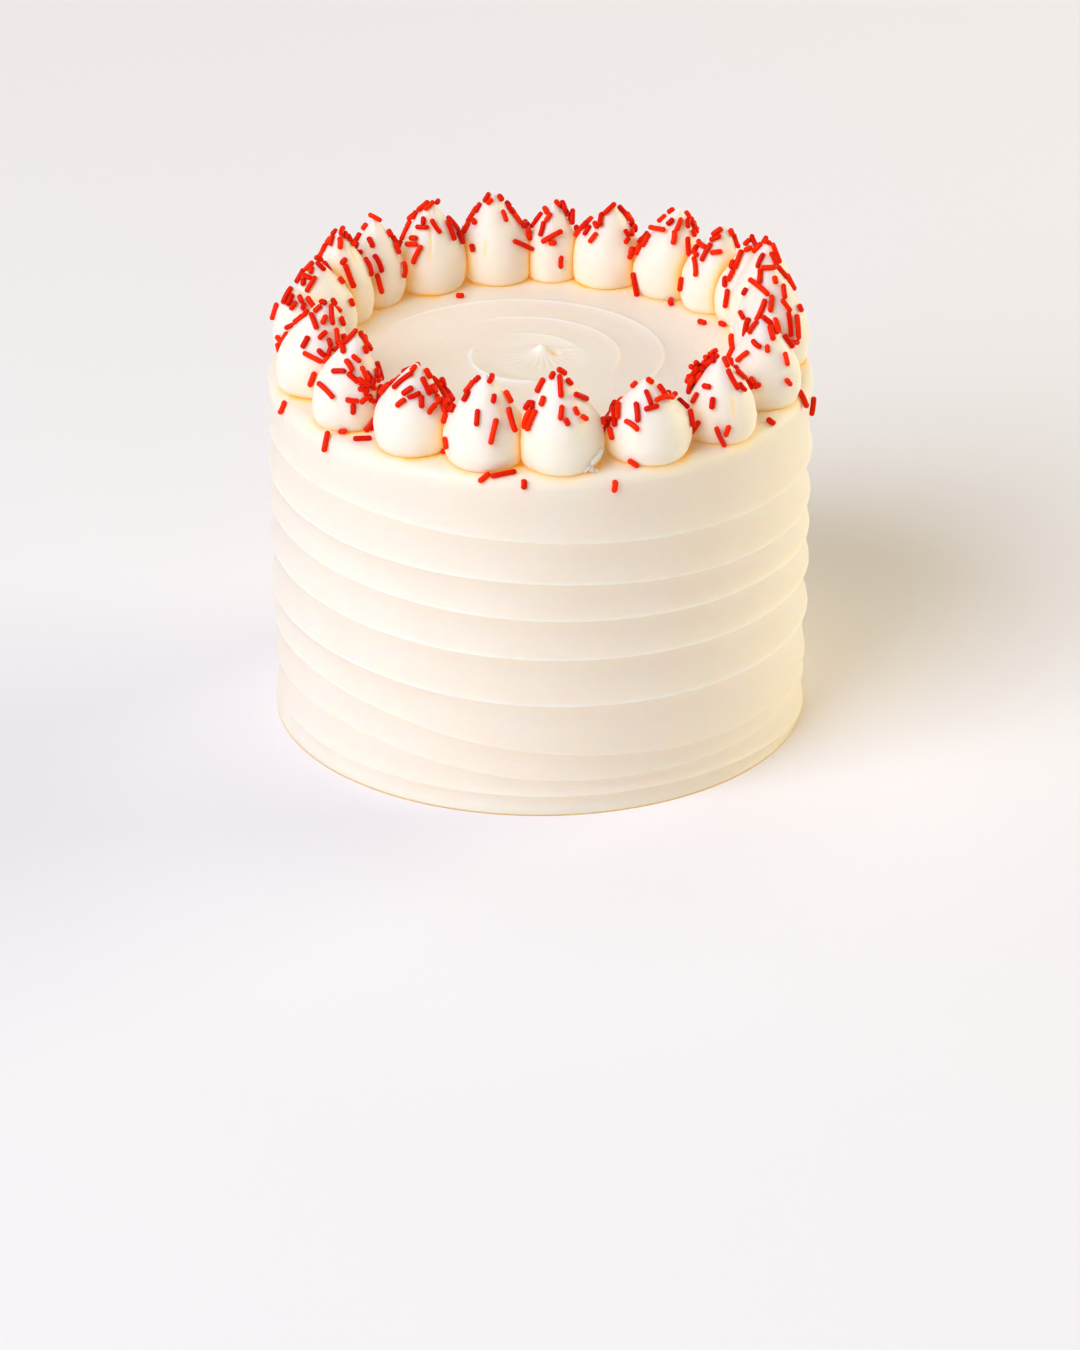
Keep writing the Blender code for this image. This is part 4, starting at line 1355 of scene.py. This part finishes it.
def spatula_marks_group():
    """Group: height of the fine marks that a blade leaves round the cake."""
    group, given, result = new_group(
        "spatula_marks",
        (("Along", "NodeSocketFloat", 1.0), ("Fine", "NodeSocketFloat", 1.0)),
        (("Height", "NodeSocketFloat"),))
    place = add_node(group, "ShaderNodeTexCoord").outputs["Object"]
    split = add_node(group, "ShaderNodeSeparateXYZ", Vector=place)
    flat = add_node(group, "ShaderNodeCombineXYZ", X=split.outputs[0], Y=split.outputs[1])
    radius = add_node(group, "ShaderNodeVectorMath", {"operation": "LENGTH"}, _0=flat.outputs[0])
    turn = add_math(group, "ARCTAN2", split.outputs[1], split.outputs[0])
    climb = add_math(group, "ADD", radius.outputs["Value"], split.outputs[2])
    across = add_math(group, "MULTIPLY", climb, given.outputs["Fine"])
    bent = add_node(group, "ShaderNodeCombineXYZ", X=add_math(group, "COSINE", turn),
                    Y=add_math(group, "SINE", turn), Z=across)
    streaks = add_node(group, "ShaderNodeTexNoise", Vector=bent.outputs[0],
                       Scale=given.outputs["Along"], Detail=4.0, Roughness=0.6)
    group.links.new(streaks.outputs[0], result.inputs["Height"])
    return group


def new_material(name):
    """A material with its node tree and its shader."""
    material = bpy.data.materials.new(name)
    material.use_nodes = True
    return material, material.node_tree, material.node_tree.nodes["Principled BSDF"]


def use_group(tree, group, **inputs):
    """A node group placed in a material."""
    return add_node(tree, "ShaderNodeGroup", {"node_tree": group}, **inputs)


def cream_material(name, groups, cream, marks_strength, fine):
    """Ivory cream icing: satin and softly translucent, with painted shade, painted highlights and a
    painted glow in its creases.
    """
    tone_and_light_group, marks_group = groups
    material, tree, shader = new_material(name)
    # The painted shade and highlight kept on each vertex
    crease = add_node(tree, "ShaderNodeAttribute", {"attribute_name": "crease"})
    tone = use_group(tree, tone_and_light_group, Crease=crease.outputs["Fac"], Cream=cream,
                     Shade=[a * b for a, b in zip(cream, CREAM_MOTTLE)], Glow=CREASE_GLOW,
                     Edge=LIP_PAINTED_HIGHLIGHT)
    marks = use_group(tree, marks_group, Along=6.0, Fine=fine)
    bump = add_node(tree, "ShaderNodeBump", Strength=marks_strength, Distance=0.0004,
                    Height=marks.outputs["Height"])
    set_inputs(tree, shader, {
        "Base Color": tone.outputs["Color"],
        # The creases' painted glow, given out as light
        "Emission Color": tone.outputs["PaintedGlow"],
        "Emission Strength": 1.0,
        "Normal": bump.outputs["Normal"],
        "Roughness": 0.46,
        "Specular IOR Level": 0.35,
        "Subsurface Weight": 0.7,
        "Subsurface Radius": (1.0, 0.62, 0.30),
        "Subsurface Scale": 0.006,
    })
    return material


def sugar_material():
    """Red glazed sugar, each strand a little lighter or darker."""
    material, tree, shader = new_material("red_sugar")
    tone = add_node(tree, "ShaderNodeAttribute", {"attribute_name": "tone"})
    place = add_node(tree, "ShaderNodeTexCoord").outputs["Object"]
    grain = add_node(tree, "ShaderNodeTexNoise", Vector=place, Scale=1400.0, Detail=2.0)
    rough = add_node(tree, "ShaderNodeMapRange", _0=grain.outputs[0], _1=0.3, _2=0.7, _3=0.22,
                     _4=0.36)
    bump = add_node(tree, "ShaderNodeBump", Strength=0.25, Distance=0.0002,
                    Height=grain.outputs[0])
    set_inputs(tree, shader, {
        "Base Color": mix_colours(tree, tone.outputs["Fac"], DARK_RED, LIGHT_RED),
        "Roughness": rough.outputs[0],
        "Specular IOR Level": 0.07,
        "Normal": bump.outputs["Normal"],
    })
    return material


# Studio


def place_facing(name, data, place, aim):
    """A light or a camera at a place, turned to look at another."""
    item = bpy.data.objects.new(name, data)
    item.location = place
    item.rotation_euler = (aim - Vector(place)).to_track_quat("-Z", "Y").to_euler()
    bpy.context.scene.collection.objects.link(item)
    return item


def set_floor():
    """A pale floor that runs out to the backdrop."""
    floor = start_form(bpy.ops.mesh.primitive_circle_add, vertices=96, radius=FLOOR_RADIUS,
                       fill_type="NGON")
    floor.name = "floor"
    material, tree, shader = new_material("pale_floor")
    place = add_node(tree, "ShaderNodeTexCoord").outputs["Object"]
    cloud = add_node(tree, "ShaderNodeTexNoise", Vector=place, Scale=1.5, Detail=1.0)
    grey = mix_colours(tree, cloud.outputs[0], *FLOOR_GREYS)
    set_inputs(tree, shader, {"Base Color": grey, "Roughness": 0.9})
    floor.data.materials.append(material)


def set_lights():
    """A warm sky, and soft square lights: the key at the front left is the strongest."""
    world = bpy.data.worlds.new("studio")
    world.use_nodes = True
    sky = world.node_tree.nodes["Background"]
    set_inputs(world.node_tree, sky, {"Color": SKY_COLOUR, "Strength": SKY_STRENGTH})
    bpy.context.scene.world = world
    for name, place, size, power, colour in LIGHTS:
        light = bpy.data.lights.new(name, "AREA")
        light.size = size
        light.energy = power
        light.color = colour
        place_facing(name, light, place, LIGHT_AIM)


def set_camera():
    """The camera that the photo was taken with."""
    lens = bpy.data.cameras.new("camera")
    lens.lens = LENS
    lens.sensor_width = SENSOR
    lens.clip_end = 50.0
    scene = bpy.context.scene
    scene.camera = place_facing("camera", lens, CAMERA_PLACE, CAMERA_AIM)
    scene.view_settings.view_transform = "Standard"


def fill_pile(view):
    """All the sprinkles: first the seen ones, then those that the camera can't tell apart or see."""
    draw = random.Random(SPRINKLE_SEED)
    for row in SEEN_SPRINKLES:
        view.lay(*row)
    for row in SEEN_STRAYS:
        view.lay(*row, stray=True)
    heap(view.pile, HEAP_RODS, draw)
    strew_strays(view.pile)
    for i, kiss in enumerate(kisses):
        after = kisses[(i + 1) % len(kisses)]
        strew(view, kiss.tip_rods, draw, on_tip(kiss), TIP_LAYERS)
        strew(view, kiss.valley_rods, draw, in_valley(view.pile, kiss, after), VALLEY_LAYERS)
        strew(view, kiss.face_rods, draw, on_face(kiss, kiss.angle))
        strew(view, kiss.face_rods, draw, on_face(kiss, kiss.angle + math.pi))


def dress_cake():
    """The icing, the kisses and the sprinkles."""
    groups = (cream_painted_light_group(), spatula_marks_group())
    combed = cream_material("combed_cream", groups, COMBED_CREAM, 0.30, 260.0)
    piped = cream_material("piped_cream", groups, PIPED_CREAM, 0.12, 120.0)
    icing = [wrap_icing(combed)]
    form = kiss_form()
    for number, kiss in enumerate(kisses, 1):
        icing.append(pipe_kiss(form, number, kiss, piped))
    bpy.data.objects.remove(form, do_unlink=True)
    view = PhotoView(Pile(icing))
    pull_smears(view, piped)
    fill_pile(view)
    lay_sprinkles(view.pile, sugar_material())


dress_cake()
set_floor()
set_lights()
set_camera()
